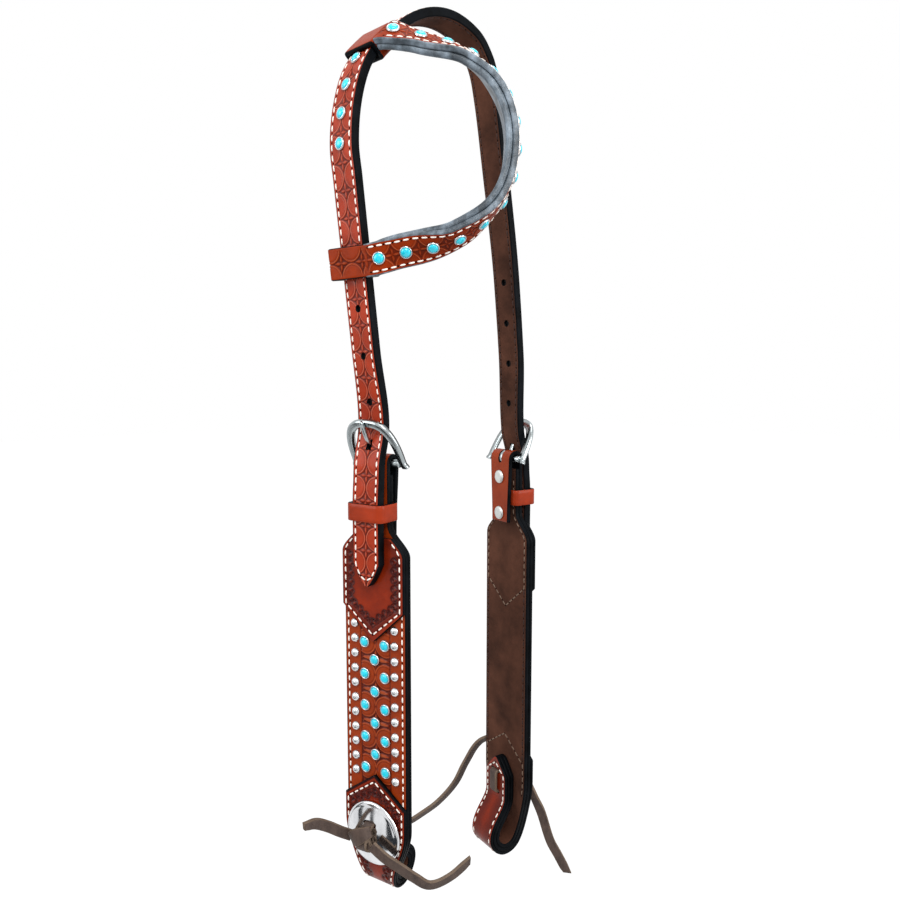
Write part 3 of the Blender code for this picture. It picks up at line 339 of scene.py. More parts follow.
def place_at_level(line, side, level):
    back = side_matrix(side).inverted()
    start = 0.0 if side == "near" else line.length
    return place_where(line, start, line.length / 2, lambda p: (back @ p).z < level)


def ear_line(line, lower, upper):
    """The outer face of the ear band, from the lower sleeve round the ear to the upper sleeve."""
    turn = math.radians(EAR_TURN)
    aside = Vector((math.cos(turn), math.sin(turn), 0))
    away = Vector((-math.sin(turn), math.cos(turn), 0))
    end_gap = STRAP_WIDTH / 2 + SLEEVE_SIDE + SLEEVE_THICK + FIT
    level = STRAP_THICK + SLEEVE_SLACK + SLEEVE_THICK
    lapped, proud = 0.0007, 0.00003
    point, along, across, out = (Vector(v) for v in line.at(lower))
    low_level = level + proud - SLEEVE_SWELL / STRAP_WIDTH * SLEEVE_SINK
    start = point + across * (end_gap - lapped) + out * low_level
    controls = [(start, across, -along)]
    middles = []
    for reach, height, bow, tilt in EAR:
        lean = math.radians(tilt)
        place = start + aside * EAR_REACH * reach + away * EAR_BOW * bow
        place.z = start.z + EAR_HEIGHT * height
        middles.append((place, away * math.cos(lean) - Vector((0, 0, 1)) * math.sin(lean)))
    point, along, across, out = (Vector(v) for v in line.at(upper))
    finish = point + across * end_gap + out * level
    line_up = [start] + [m[0] for m in middles] + [finish]
    for i, (place, turned) in enumerate(middles, start=1):
        controls.append((place, line_up[i + 1] - line_up[i - 1], turned))
    controls.append((finish, -across, along))
    return Line(controls)


def cheek_line(side):
    """The flesh side of the cheek's face leather.

    It runs up the tab, over the bar, down the panel, and round the bit loop to its tip."""
    bottom = -LOOP_BOTTOM[side] + FACE + FIT + OVERLAY
    across, up, down = Vector((1, 0, 0)), Vector((0, 0, 1)), Vector((0, 0, -1))
    controls = [(Vector((0, -FOLD_INNER, -TAB_LONG)), up, across)]
    for step in range(5):
        turn = math.pi * step / 4
        point = Vector((0, -math.cos(turn), math.sin(turn))) * FOLD_INNER
        controls.append((point, Vector((0, math.sin(turn), math.cos(turn))), across))
    inner_side = -PLY_STACK - LOOP_GAP + FACE + OVERLAY + 2 * FIT
    controls += [
        (Vector((0, FOLD_INNER, -LOOP_START)), down, across),
        (Vector((0, (FOLD_INNER + inner_side) / 2, bottom)), Vector((0, -1, 0)), across),
        (Vector((0, inner_side, bottom + (FOLD_INNER - inner_side) / 2)), up, across),
        (Vector((0, -PLY_STACK, -LOOP_START - FIT)), up, across),
        (Vector((0, -PLY_STACK, -LOOP_TIP)), up, across),
    ]
    return Line(moved(controls, side_matrix(side)))


# Meshes


def faced_out(points, faces):
    """The faces of a closed body, turned over if the body is inside out."""
    points, volume = np.asarray(points, float), 0.0
    for count in {len(face) for face in faces}:
        table = np.array([face for face in faces if len(face) == count])
        first = points[table[:, 0]]
        for k in range(1, count - 1):
            volume += (np.cross(points[table[:, k]], points[table[:, k + 1]]) * first).sum()
    return faces if volume > 0 else [face[::-1] for face in faces]


def grid_faces(rows, around, closed=False):
    """Quads between rows of points that go round. closed joins the last row to the first too."""
    i, k = np.meshgrid(np.arange(rows if closed else rows - 1), np.arange(around), indexing="ij")
    i2, k2 = (i + 1) % rows, (k + 1) % around
    quads = np.stack([i * around + k, i * around + k2, i2 * around + k2, i2 * around + k], -1)
    return quads.reshape(-1, 4).tolist()


def tube_faces(rows, around):
    """The faces of a tube of rings of points, with a cap on each end."""
    last = (rows - 1) * around
    return grid_faces(rows, around) + [list(range(around))[::-1], list(range(last, last + around))]


def merged(*bodies):
    """Several closed bodies of (points, faces) as one."""
    points, faces, base = [], [], 0
    for body_points, body_faces in bodies:
        body_points = np.asarray([tuple(p) for p in body_points], float)
        points.append(body_points)
        faces += [[v + base for v in face] for face in faced_out(body_points, body_faces)]
        base += len(body_points)
    return np.concatenate(points), faces


def make_piece(name, points, faces, finishes, indexes=None, marks=None):
    """A mesh piece, its faces turned outwards. marks say how dark each point is tooled, and below zero how
    strong a painted highlight it has.
    """
    mesh = bpy.data.meshes.new(name)
    points = np.asarray([tuple(p) for p in points], float)
    mesh.from_pydata(points.tolist(), [], faced_out(points, faces))
    for finish in finishes:
        mesh.materials.append(finish)
    if indexes is not None and len(finishes) > 1:
        mesh.polygons.foreach_set("material_index", np.asarray(indexes, np.int32))
    if marks is not None:
        tooled = mesh.attributes.new("tooled", "FLOAT", "POINT")
        tooled.data.foreach_set("value", np.asarray(marks, np.float32))
    mesh.shade_smooth()
    mesh.update()
    item = bpy.data.objects.new(name, mesh)
    bpy.context.scene.collection.objects.link(item)
    return item


def leather_band(name, line, places, half, low, high, columns, finishes, relief=None, soft=SOFT_EDGE,
                 backs=5, slant=0.0):
    """A strap along a line with rounded painted edges, a tooled top and a plain back.

    finishes are those of the top, the edges and the back. relief(places, aside) gives the height that tooling
    adds and how dark it is, below zero a painted highlight. slant cuts the far end on a diagonal."""
    half = half(places)
    soft = np.minimum(np.minimum(soft, half / 2), (high - low) / 2.2)[:, None]
    wide = half[:, None]
    turns = np.radians([0, 30, 60, 90])[None, :]
    aside, level, kinds = [], [], []

    def add(u, v, kind):
        aside.append(u)
        level.append(v)
        kinds.extend([kind] * u.shape[1])

    flat = wide - soft
    add(np.linspace(-1, 1, backs)[None, :] * flat, np.full((len(places), backs), low), 2)
    add(flat + soft * np.sin(turns[:, 1:]), low + soft * (1 - np.cos(turns[:, 1:])), 1)
    add(flat + soft * np.cos(turns[:, :-1]), high - soft * (1 - np.sin(turns[:, :-1])), 1)
    top_aside = np.linspace(1, -1, columns)[None, :] * flat
    top_level = np.full_like(top_aside, high)
    marks = np.zeros_like(top_aside)
    if relief is not None:
        rise, marks = relief(places[:, None], top_aside)
        top_level = top_level + rise
    first_top = len(kinds)
    add(top_aside, top_level, 0)
    add(-flat - soft * np.sin(turns[:, 1:]), high - soft * (1 - np.cos(turns[:, 1:])), 1)
    add(-flat - soft * np.cos(turns[:, :-1]), low + soft * (1 - np.sin(turns[:, :-1])), 1)
    aside, level = np.concatenate(aside, 1), np.concatenate(level, 1)
    count = aside.shape[1]
    all_marks = np.zeros_like(aside)
    all_marks[:, first_top:first_top + columns] = marks
    point, along, across, out = line.at(places)
    points = point[:, None] + across[:, None] * aside[..., None] + out[:, None] * level[..., None]
    near_tip = slant * ease(1 - (line.length - places) / (2 * half + FIT))
    points = (points + along[:, None] * (aside * near_tip[:, None])[..., None]).reshape(-1, 3)
    kinds = np.array(kinds)
    pair = np.where((kinds == 0) & (np.roll(kinds, -1) == 0), 0,
                    np.where((kinds == 2) & (np.roll(kinds, -1) == 2), 2, 1))
    indexes = np.broadcast_to(pair, (len(places) - 1, count)).reshape(-1).tolist() + [1, 1]
    return make_piece(name, points, tube_faces(len(places), count), finishes, indexes, all_marks.reshape(-1))


def copies(shape, where):
    """Copies of a small shape of (points, faces), each at (point, along, across, out)."""
    shape_points, shape_faces = shape
    point, along, across, out = (np.asarray(v, float) for v in where)
    points = (
        point[:, None]
        + along[:, None] * shape_points[None, :, 0:1]
        + across[:, None] * shape_points[None, :, 1:2]
        + out[:, None] * shape_points[None, :, 2:3]
    ).reshape(-1, 3)
    step = len(shape_points)
    return points, [[v + i * step for v in face] for i in range(len(point)) for face in shape_faces]


def scatter(name, shape, where, finishes, indexes=None):
    """One piece of many copies of a small shape."""
    points, faces = copies(shape, where)
    if indexes is not None:
        indexes = list(indexes) * len(where[0])
    return make_piece(name, points, faces, finishes, indexes)


def turned(profile, sides):
    """A small body turned about its own Z from (radius, height) points, with a flat cap on each end."""
    points = []
    for radius, height in profile:
        for i in range(sides):
            turn = 2 * math.pi * i / sides
            points.append((radius * math.cos(turn), radius * math.sin(turn), height))
    return np.array(points), tube_faces(len(profile), sides)


def stitch_shape():
    """One stitch: a slack twist of thread, thicker in its middle."""
    rings, sides = 7, 8
    points, faces = [], []
    for ring in range(rings):
        share = ring / (rings - 1) * 2 - 1
        body = math.sqrt(max(0.0, 1 - abs(share) ** 3.2)) * 0.9 + 0.1
        for i in range(sides):
            turn = 2 * math.pi * i / sides
            points.append((
                share * STITCH_LONG / 2,
                math.cos(turn) * body * STITCH_WIDE / 2,
                math.sin(turn) * body * STITCH_WIDE * 0.36 + 0.0001 - 0.00025 * share**4,
            ))
    for ring in range(rings - 1):
        for i in range(sides):
            j = (i + 1) % sides
            faces.append([ring * sides + i, (ring + 1) * sides + i, (ring + 1) * sides + j, ring * sides + j])
    faces.append(list(range(sides)))
    faces.append([(rings - 1) * sides + i for i in range(sides)][::-1])
    return np.array(points), faces


def hole_shape():
    """A dark disc at a stitch's end, as painted shade of its needle hole."""
    return turned([(0.00052, -0.0003), (0.00052, 0.00004), (0.00030, 0.00007)], 8)


def run_of(line, path, level):
    """Places of stitches and of their holes along a path of (place, aside) points."""
    pitch = STITCH_PITCH
    path = np.array(path, float)
    steps = np.concatenate([[0.0], np.cumsum(np.linalg.norm(np.diff(path, axis=0), axis=1))])
    count = max(1, int(round(steps[-1] / pitch)))

    def read(at):
        s, x = np.interp(at, steps, path[:, 0]), np.interp(at, steps, path[:, 1])
        nudge = pitch * 0.2
        s2, x2 = np.interp(at + nudge, steps, path[:, 0]), np.interp(at + nudge, steps, path[:, 1])
        s1, x1 = np.interp(at - nudge, steps, path[:, 0]), np.interp(at - nudge, steps, path[:, 1])
        flat = np.full(len(at), level)
        along = unit(line.on(s2, x2, flat) - line.on(s1, x1, flat))
        out = line.at(s)[3]
        return line.on(s, x, flat), along, np.cross(out, along), out

    centres = (np.arange(count) + 0.5) * steps[-1] / count
    ends = np.arange(count + 1) * steps[-1] / count
    return read(centres), read(ends)


def joined(runs):
    """Several runs of (point, along, across, out) as one."""
    return tuple(np.concatenate([run[k] for run in runs]) for k in range(4))


def both_sides(path):
    """A path of (place, aside) points, and its mirror on the other side of the line."""
    return [path, [(s, -x) for s, x in path]]


def sew(name, line, paths, level, body, thread, facing=1.0):
    """Stitches and their needle holes along the paths. facing -1 sews the back."""
    runs = [run_of(line, path, level) for path in paths]
    for label, shape, picked, finish in (
        ("stitches", stitch_shape(), [r[0] for r in runs], thread),
        ("needle_holes", hole_shape(), [r[1] for r in runs], finishes["hole"]),
    ):
        point, along, across, out = joined(picked)
        ride(scatter(f"{name}_{label}", shape, (point, along, across * facing, out * facing), [finish]), body)


def ride(piece, body):
    """Sets a piece on a body. For two of them, given as (body, body, start, end), it only bakes the piece's
    place.
    """
    if isinstance(body, tuple):
        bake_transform(piece)
    else:
        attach(piece, body)


def dress(piece, body, slot, *nodes):
    """Puts a piece in the place of the model's nodes and on their body. slot is not used."""
    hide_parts(*nodes)
    ride(piece, body)


def cut(piece, name, points, faces):
    """Takes a hidden tool's shape out of a piece for good."""
    tool = make_piece(name, points, faces, list(piece.data.materials), [1] * len(faces))
    step = piece.modifiers.new(name, "BOOLEAN")
    step.operation, step.solver, step.object = "DIFFERENCE", "EXACT", tool
    graph = bpy.context.evaluated_depsgraph_get()
    done = bpy.data.meshes.new_from_object(piece.evaluated_get(graph))
    piece.modifiers.clear()
    piece.data = done
    bpy.data.objects.remove(tool)


def rods(where, radius, length, sides=16):
    """Straight round tools standing on the places of (point, along, across, out)."""
    return copies(turned([(radius, -length / 2), (radius, length / 2)], sides), where)


# Tooling


def groove(distance, width):
    """1 on a line and falling to 0 beside it."""
    return np.exp(-((distance / width) ** 2))


def star(s, x, long_way, wide_way, fullness=0.24):
    """A four-petal star: 1 inside its petals, and the lines round them.

    fullness is a petal's half width as a share of its length."""
    inside = np.zeros(np.broadcast(s, x).shape)
    line = np.zeros_like(inside)
    for a, b, length in ((s, x, long_way), (x, s, wide_way)):
        share = np.clip(np.abs(a) / length, 0, 1)
        petal = fullness * length * np.sin(math.pi * np.clip(share * 0.92 + 0.08, 0, 1)) ** 0.8
        gap = np.abs(b) - petal
        near = ease((1.05 - share) / 0.1)
        inside = np.maximum(inside, near * ease(-gap / 0.0004))
        line = np.maximum(line, near * groove(gap, 0.0003))
    return inside, line


def lobes(s, x, pitch, phase, reach):
    """Plain lobes from both sides that touch on the centre line, and a star in each diamond between."""
    radius = (reach**2 + (pitch / 2) ** 2) / (2 * reach)
    cell = (s - phase) / pitch
    from_lobe = (cell - np.floor(cell) - 0.5) * pitch
    from_star = (cell - np.round(cell)) * pitch
    rho = np.sqrt(from_lobe**2 + (radius - np.abs(x)) ** 2)
    rim = groove(rho - radius, 0.00036)
    inner = groove(rho - radius + 0.0013, 0.00026)
    lip = groove(rho - radius + 0.00068, 0.00028)
    diamond = ease((rho - radius) / 0.0006)
    petals, lines = star(from_star, x, pitch * 0.33, reach * 0.7, 0.19)
    fade = ease((reach + 0.0004 - np.abs(x)) / 0.0005)
    rise = -0.00040 * rim - 0.00020 * inner + 0.00008 * lip
    rise -= diamond * (0.00034 - 0.00042 * petals + 0.00012 * lines)
    # Below zero, dark is a painted highlight: on the lip between the double cut lines, and faintly inside the
    # star's petals.
    dark = 0.95 * rim + 0.5 * inner + diamond * (0.62 - 0.8 * petals + 0.6 * lines) - 0.55 * lip
    return rise * fade, np.clip(dark, -1, 1) * fade


def shells(s, x, rise, dark, path, pitch=0.0052, radius=0.0030, stretch=1.55, inward=1.0):
    """A border of fan stamps along a path of (place, aside) points, each longer than it is wide."""
    path = np.array(path, float)
    steps = np.concatenate([[0.0], np.cumsum(np.linalg.norm(np.diff(path, axis=0), axis=1))])
    count = int(round(steps[-1] / pitch))
    at = (np.arange(count) + 0.5) * steps[-1] / count
    cs, cx = np.interp(at, steps, path[:, 0]), np.interp(at, steps, path[:, 1])
    ts = np.interp(at + 0.001, steps, path[:, 0]) - np.interp(at - 0.001, steps, path[:, 0])
    tx = np.interp(at + 0.001, steps, path[:, 1]) - np.interp(at - 0.001, steps, path[:, 1])
    size = np.hypot(ts, tx)
    for i in range(count):
        picked = (np.abs(s[:, 0] - cs[i]) < 2 * stretch * radius).nonzero()[0]
        if not len(picked):
            continue
        rows = slice(picked[0], picked[-1] + 1)
        along = ((s[rows] - cs[i]) * ts[i] + (x[rows] - cx[i]) * tx[i]) / size[i]
        deep = ((s[rows] - cs[i]) * -tx[i] + (x[rows] - cx[i]) * ts[i]) / size[i] * inward / stretch
        rho, turn = np.hypot(along, deep), np.arctan2(along, deep)
        inside = ease((radius - rho) / 0.0005) * ease((deep + 0.0004) / 0.0004)
        ribs = 0.5 + 0.5 * np.cos(turn * 7)
        rise[rows] -= inside * (0.00030 + 0.00040 * ribs * ease(rho / 0.0009))
        eye = groove(np.hypot(along, deep - 0.0010), 0.0007)
        rise[rows] += 0.00075 * eye
        lip = groove(rho - radius, 0.0004) * ease((deep + 0.0006) / 0.0006)
        rise[rows] -= 0.0001 * lip
        dark[rows] = np.maximum(dark[rows], inside * (0.62 + 0.38 * ribs))
        dark[rows] = np.maximum(dark[rows], lip)
        # The eye of each stamp goes below zero: a painted highlight.
        dark[rows] = np.where(eye > 0.45, 0.3 - 0.8 * eye, dark[rows])
    return rise, dark


def field_tooling(drop, x):
    """Plain discs round the outer stones, a star round each middle one, and a cut line down each side."""
    beside = np.abs(x)
    cell = (drop - FIRST_STONE) / STONE_PITCH
    from_disc = (cell - np.round(cell)) * STONE_PITCH
    from_star = (cell - np.floor(cell) - 0.5) * STONE_PITCH
    rho = np.hypot(from_disc, beside - DISC_ASIDE)
    rim = groove(rho - DISC_RADIUS, 0.00050)
    inner = groove(rho - DISC_RADIUS + 0.00150, 0.00034)
    lip = groove(rho - DISC_RADIUS + 0.00085, 0.00034)
    ground = ease((rho - DISC_RADIUS) / 0.0007)
    petals, lines = star(from_star, x, 0.0066, CUT_LINE - 0.0004, 0.13)
    seed = groove(np.hypot(from_disc, x), 0.0008)
    cut_line = groove(beside - CUT_LINE, 0.00042)
    between = ease((CUT_LINE + 0.0002 - beside) / 0.0004)
    rise = -0.00055 * rim - 0.00025 * inner + 0.0001 * lip
    rise += ground * (0.00040 * petals - 0.00038 - 0.00015 * lines) - 0.0004 * seed
    # Below zero, dark is a painted highlight: on the lip inside each disc's rim, and inside the star's
    # petals.
    dark = rim + 0.55 * inner - 0.5 * lip + ground * (0.6 - 0.85 * petals + 0.75 * lines) + 0.8 * seed
    inside = ease((drop - 0.078) / 0.002) * ease((0.203 - drop) / 0.002)
    rise = (rise * between - 0.0004 * cut_line) * inside
    return rise, np.clip(dark * between + 0.8 * cut_line, -1, 1) * inside


def burnished(s, x, dark, half_at, tip, shoulder, painted):
    """Burnish that deepens towards an overlay's border, and the paint that laps over its point."""
    beside_point = np.abs(s - tip) < abs(shoulder - tip)
    border = (half_at(s[:, 0])[:, None] - np.abs(x)) * np.where(beside_point, 0.63, 1.0)
    rubbed = 0.5 * ease((0.0125 - border) / 0.008) * ease((border - 0.0022) / 0.001)
    # Painted highlights (dark below zero) are kept as they are; only the rest is burnished.
    dark = np.where(dark < 0, dark, np.maximum(dark, rubbed))
    lap = painted * ease((0.0017 - border) / 0.0004) * beside_point
    return np.clip(np.maximum(dark, lap), -1, 1)


# Finishes


def tint(code):
    """A colour written as its display value."""
    values = [int(code[i:i + 2], 16) / 255 for i in (1, 3, 5)]
    return (*[v / 12.92 if v <= 0.04045 else ((v + 0.055) / 1.055) ** 2.4 for v in values], 1.0)


def add_node(tree, kind, settings=(), **inputs):
    made = tree.nodes.new("ShaderNode" + kind)
    for key, value in dict(settings).items():
        setattr(made, key, value)
    for key, value in inputs.items():
        key = key.replace("_", " ").strip()
        socket = made.inputs[int(key)] if key.isdigit() else made.inputs[key]
        if isinstance(value, bpy.types.NodeSocket):
            tree.links.new(value, socket)
        else:
            socket.default_value = value
    return made


def group(name, inputs, outputs):
    tree = bpy.data.node_groups.new(name, "ShaderNodeTree")
    for label, kind, value in inputs:
        socket = tree.interface.new_socket(label, in_out="INPUT", socket_type=kind)
        socket.default_value = value
    for label, kind in outputs:
        tree.interface.new_socket(label, in_out="OUTPUT", socket_type=kind)
    return tree, tree.nodes.new("NodeGroupInput"), tree.nodes.new("NodeGroupOutput")


def maths(tree, operation, a, b=0.0, clamp=False):
    return add_node(tree, "Math", {"operation": operation, "use_clamp": clamp}, _0=a, _1=b).outputs[0]


def mix(tree, share, a, b, blend="MIX"):
    made = tree.nodes.new("ShaderNodeMix")
    made.data_type, made.blend_type = "RGBA", blend
    for key, value in (("Factor_Float", share), ("A_Color", a), ("B_Color", b)):
        socket = next(s for s in made.inputs if s.identifier == key)
        if isinstance(value, bpy.types.NodeSocket):
            tree.links.new(value, socket)
        else:
            socket.default_value = value
    return next(s for s in made.outputs if s.identifier == "Result_Color")


def ramp(tree, value, low, high):
    made = add_node(tree, "MapRange", {}, Value=value)
    made.inputs["From Min"].default_value, made.inputs["From Max"].default_value = low, high
    return made.outputs[0]


def grain_group():
    """Leather grain: pores and creases as a height, and blotches of colour."""
    tree, given, out = group(
        "leather_grain",
        [("Pore Scale", "NodeSocketFloat", 900.0), ("Blotch Scale", "NodeSocketFloat", 60.0)],
        [("Height", "NodeSocketFloat"), ("Blotch", "NodeSocketFloat"), ("Streak", "NodeSocketFloat")],
    )
    place = add_node(tree, "TexCoord").outputs["Object"]
    cells = {"feature": "DISTANCE_TO_EDGE"}
    pores = add_node(tree, "TexVoronoi", cells, Vector=place, Scale=given.outputs[0])
    pore_height = maths(tree, "MINIMUM", maths(tree, "MULTIPLY", pores.outputs["Distance"], 4.0), 1.0)
    fine = add_node(tree, "TexNoise", {}, Vector=place, Scale=given.outputs[0], Detail=4.0)
    blotch = add_node(tree, "TexNoise", {}, Vector=place, Scale=given.outputs[1], Detail=5.0, Roughness=0.6)
    spread = add_node(tree, "Mapping", {}, Vector=place, Scale=(1.0, 1.0, 0.18))
    streak = add_node(tree, "TexNoise", {}, Vector=spread.outputs[0], Scale=220.0, Detail=3.0)
    coarse_part = maths(tree, "MULTIPLY", pore_height, 0.5)
    fine_part = maths(tree, "MULTIPLY", fine.outputs[0], 0.6)
    height = maths(tree, "ADD", coarse_part, fine_part)
    tree.links.new(height, out.inputs[0])
    tree.links.new(ramp(tree, blotch.outputs[0], 0.32, 0.68), out.inputs[1])
    tree.links.new(ramp(tree, streak.outputs[0], 0.35, 0.65), out.inputs[2])
    return tree


GRAIN = grain_group()


def finish_of(name, roughness, metallic=0.0, coat=0.0, coat_roughness=0.2, specular=0.5):
    made = bpy.data.materials.new(name)
    made.use_nodes = True
    shader = made.node_tree.nodes["Principled BSDF"]
    shader.inputs["Roughness"].default_value = roughness
    shader.inputs["Metallic"].default_value = metallic
    shader.inputs["Coat Weight"].default_value = coat
    shader.inputs["Coat Roughness"].default_value = coat_roughness
    shader.inputs["Specular IOR Level"].default_value = specular
    return made, made.node_tree, shader


def grain_in(tree, pores, blotches):
    made = tree.nodes.new("ShaderNodeGroup")
    made.node_tree = GRAIN
    made.inputs[0].default_value, made.inputs[1].default_value = pores, blotches
    return made


def bump(tree, shader, height, strength, distance=0.0002):
    made = add_node(tree, "Bump", {}, Height=height, Strength=strength, Distance=distance)
    tree.links.new(made.outputs[0], shader.inputs["Normal"])


def leather(name, light, deep, burnt, lip, roughness=0.36, pores=900.0, coat=0.1, grain=0.25, specular=0.1):
    """Polished leather whose tooled marks are burnt darker, and whose lips and petals take a paler colour as
    a painted highlight.
    """
    made, tree, shader = finish_of(name, roughness, coat=coat, coat_roughness=0.14, specular=specular)
    texture = grain_in(tree, pores, 70.0)
    colour = mix(tree, texture.outputs["Blotch"], tint(light), tint(deep))
    tooled = add_node(tree, "Attribute", {"attribute_name": "tooled"}).outputs["Fac"]
    colour = mix(tree, maths(tree, "MULTIPLY", tooled, 0.96, True), colour, tint(burnt))
    # Marks below zero mix towards the lip colour: a painted highlight on the raised lips of the tooling.
    colour = mix(tree, maths(tree, "MULTIPLY", tooled, -0.95, True), colour, tint(lip))
    tree.links.new(colour, shader.inputs["Base Color"])
    rough = maths(tree, "ADD", maths(tree, "MULTIPLY", texture.outputs["Height"], 0.14), roughness - 0.06)
    tree.links.new(rough, shader.inputs["Roughness"])
    bump(tree, shader, texture.outputs["Height"], grain)
    return made


def rough_leather(name, light, deep, grain=0.5):
    made, tree, shader = finish_of(name, 0.85, specular=0.06)
    texture = grain_in(tree, 1500.0, 45.0)
    colour = mix(tree, texture.outputs["Blotch"], tint(light), tint(deep))
    tree.links.new(colour, shader.inputs["Base Color"])
    bump(tree, shader, texture.outputs["Height"], grain)
    return made


def padding_painted_sheen():
    """The ear band's padded side: grey-blue as a painted sheen on its glossy black, streaked to black along
    its length.
    """
    made, tree, shader = finish_of("ear_padding_painted_sheen", 0.42, specular=0.35)
    texture = grain_in(tree, 700.0, 130.0)
    colour = mix(tree, texture.outputs["Blotch"], tint("#3A444C"), tint("#8794A0"))
    colour = mix(tree, maths(tree, "MULTIPLY", texture.outputs["Streak"], 0.7), colour, tint("#11151A"))
    tree.links.new(colour, shader.inputs["Base Color"])
    bump(tree, shader, texture.outputs["Height"], 0.5)
    return made


def edge_paint():
    made, tree, shader = finish_of("edge_paint", 0.45, specular=0.035)
    texture = grain_in(tree, 400.0, 90.0)
    colour = mix(tree, texture.outputs["Blotch"], tint("#040506"), tint("#0E1115"))
    tree.links.new(colour, shader.inputs["Base Color"])
    bump(tree, shader, texture.outputs["Height"], 0.3)
    return made


def plated(name, colour, roughness, scratch=0.15):
    made, tree, shader = finish_of(name, roughness, metallic=1.0)
    texture = grain_in(tree, 1800.0, 160.0)
    shade = mix(tree, maths(tree, "MULTIPLY", texture.outputs["Blotch"], 0.35), tint(colour), tint("#9EA2A6"))
    tree.links.new(shade, shader.inputs["Base Color"])
    rough = maths(tree, "ADD", maths(tree, "MULTIPLY", texture.outputs["Streak"], 0.1), roughness)
    tree.links.new(rough, shader.inputs["Roughness"])
    bump(tree, shader, texture.outputs["Height"], scratch, 0.00005)
    return made


def stone():
    made, tree, shader = finish_of("turquoise", 0.16, coat=0.6, coat_roughness=0.08)
    texture = grain_in(tree, 1200.0, 420.0)
    colour = mix(tree, texture.outputs["Blotch"], tint("#00D2E6"), tint("#00B6CC"))
    veins = ramp(tree, texture.outputs["Height"], 0.34, 0.2)
    colour = mix(tree, maths(tree, "MULTIPLY", veins, 0.22, True), colour, tint("#0A7F8C"))
    tree.links.new(colour, shader.inputs["Base Color"])
    return made


def thread(name, light, deep):
    made, tree, shader = finish_of(name, 0.7, specular=0.3)
    place = add_node(tree, "TexCoord").outputs["Object"]
    strands = {"wave_type": "BANDS", "bands_direction": "DIAGONAL"}
    twist = add_node(tree, "TexWave", strands, Vector=place, Scale=700.0)
    colour = mix(tree, twist.outputs["Fac"], tint(light), tint(deep))
    tree.links.new(colour, shader.inputs["Base Color"])
    bump(tree, shader, twist.outputs["Fac"], 0.4, 0.0001)
    return made


def lace_leather():
    made, tree, shader = finish_of("lace_leather", 0.62, specular=0.35)
    texture = grain_in(tree, 1300.0, 120.0)
    colour = mix(tree, texture.outputs["Blotch"], tint("#4B3B34"), tint("#332722"))
    colour = mix(tree, maths(tree, "MULTIPLY", texture.outputs["Streak"], 0.3), colour, tint("#6A574C"))
    tree.links.new(colour, shader.inputs["Base Color"])
    bump(tree, shader, texture.outputs["Height"], 0.5)
    return made


# A leather's fourth colour is the painted highlight on the lips and petals of its tooling.
finishes = {
    "strap": leather("strap_leather", "#A4361A", "#8A280F", "#45100A", "#D8866A", 0.32),
    "cheek": leather("cheek_leather", "#92340A", "#7C2807", "#430D06", "#C46A3C", 0.36),
    "overlay": leather("overlay_leather", "#87270A", "#6A1C08", "#26080A", "#B4664A", 0.32),
    "plain": leather("plain_leather", "#9C3213", "#7E270D", "#5A1A0C", "#D07848", 0.36, 1100.0),
    "ear": leather("ear_leather", "#8E2E08", "#742306", "#360B06", "#C87850", 0.34,
                   coat=0.04, specular=0.04),
    "back": rough_leather("rough_leather", "#5A392C", "#38231B"),
    "edge": edge_paint(),
    # The padding finish, also on the ear band's edges, is grey-blue as a painted sheen on black leather.
    "padding": padding_painted_sheen(),
    "nickel": plated("nickel_plate", "#A9B1B2", 0.16),
    "dome": plated("dome_silver", "#DEDFE0", 0.2, 0.05),
    "silver": plated("silver_plate", "#E2E3E5", 0.06, 0.05),
    "rim": plated("rim_silver", "#C6C9CB", 0.2, 0.05),
    "stone": stone(),
    "thread": thread("white_thread", "#FAF6F0", "#E2D9CC"),
    "brown_thread": thread("brown_thread", "#3A221C", "#2A1713"),
    "worn_thread": thread("worn_thread", "#86705F", "#5A463B"),
    "screw": plated("screw_nickel", "#D4D5D2", 0.36, 0.3),
    "lace": lace_leather(),
    "raw": rough_leather("raw_lace_edge", "#7A6A5C", "#5D4E43", 0.3),
    # A needle hole's near-black is painted shade.
    "hole": rough_leather("needle_hole", "#120A08", "#080504", 0.1),
}


# Pieces


def stone_spots(name, where, body):
    """A silver rim round each turquoise cabochon."""
    r = STONE_RADIUS
    rim = turned([(r * 0.98, -0.0004), (r * 1.02, 0.0005), (r * 0.97, 0.0010), (r * 0.89, 0.0013),
                  (r * 0.80, 0.0012), (r * 0.76, 0.0006), (r * 0.5, 0.0005)], 24)
    cabochon = turned([(r * 0.77, 0.0004), (r * 0.76, 0.0011), (r * 0.64, 0.0017), (r * 0.44, 0.0020),
                       (r * 0.2, 0.00215)], 20)
    kinds = [0] * len(rim[1]) + [1] * len(cabochon[1])
    ride(scatter(name, merged(rim, cabochon), where, [finishes["rim"], finishes["stone"]], kinds), body)


def silver_spots(name, where, body):
    """Plain silver domes."""
    r = DOME_RADIUS
    dome = turned([(r, -0.0004), (r * 1.02, 0.0003), (r * 0.97, 0.0009), (r * 0.84, 0.0015),
                   (r * 0.62, 0.0020), (r * 0.36, 0.0023), (r * 0.12, 0.0024)], 20)
    ride(scatter(name, dome, where, [finishes["dome"]]), body)


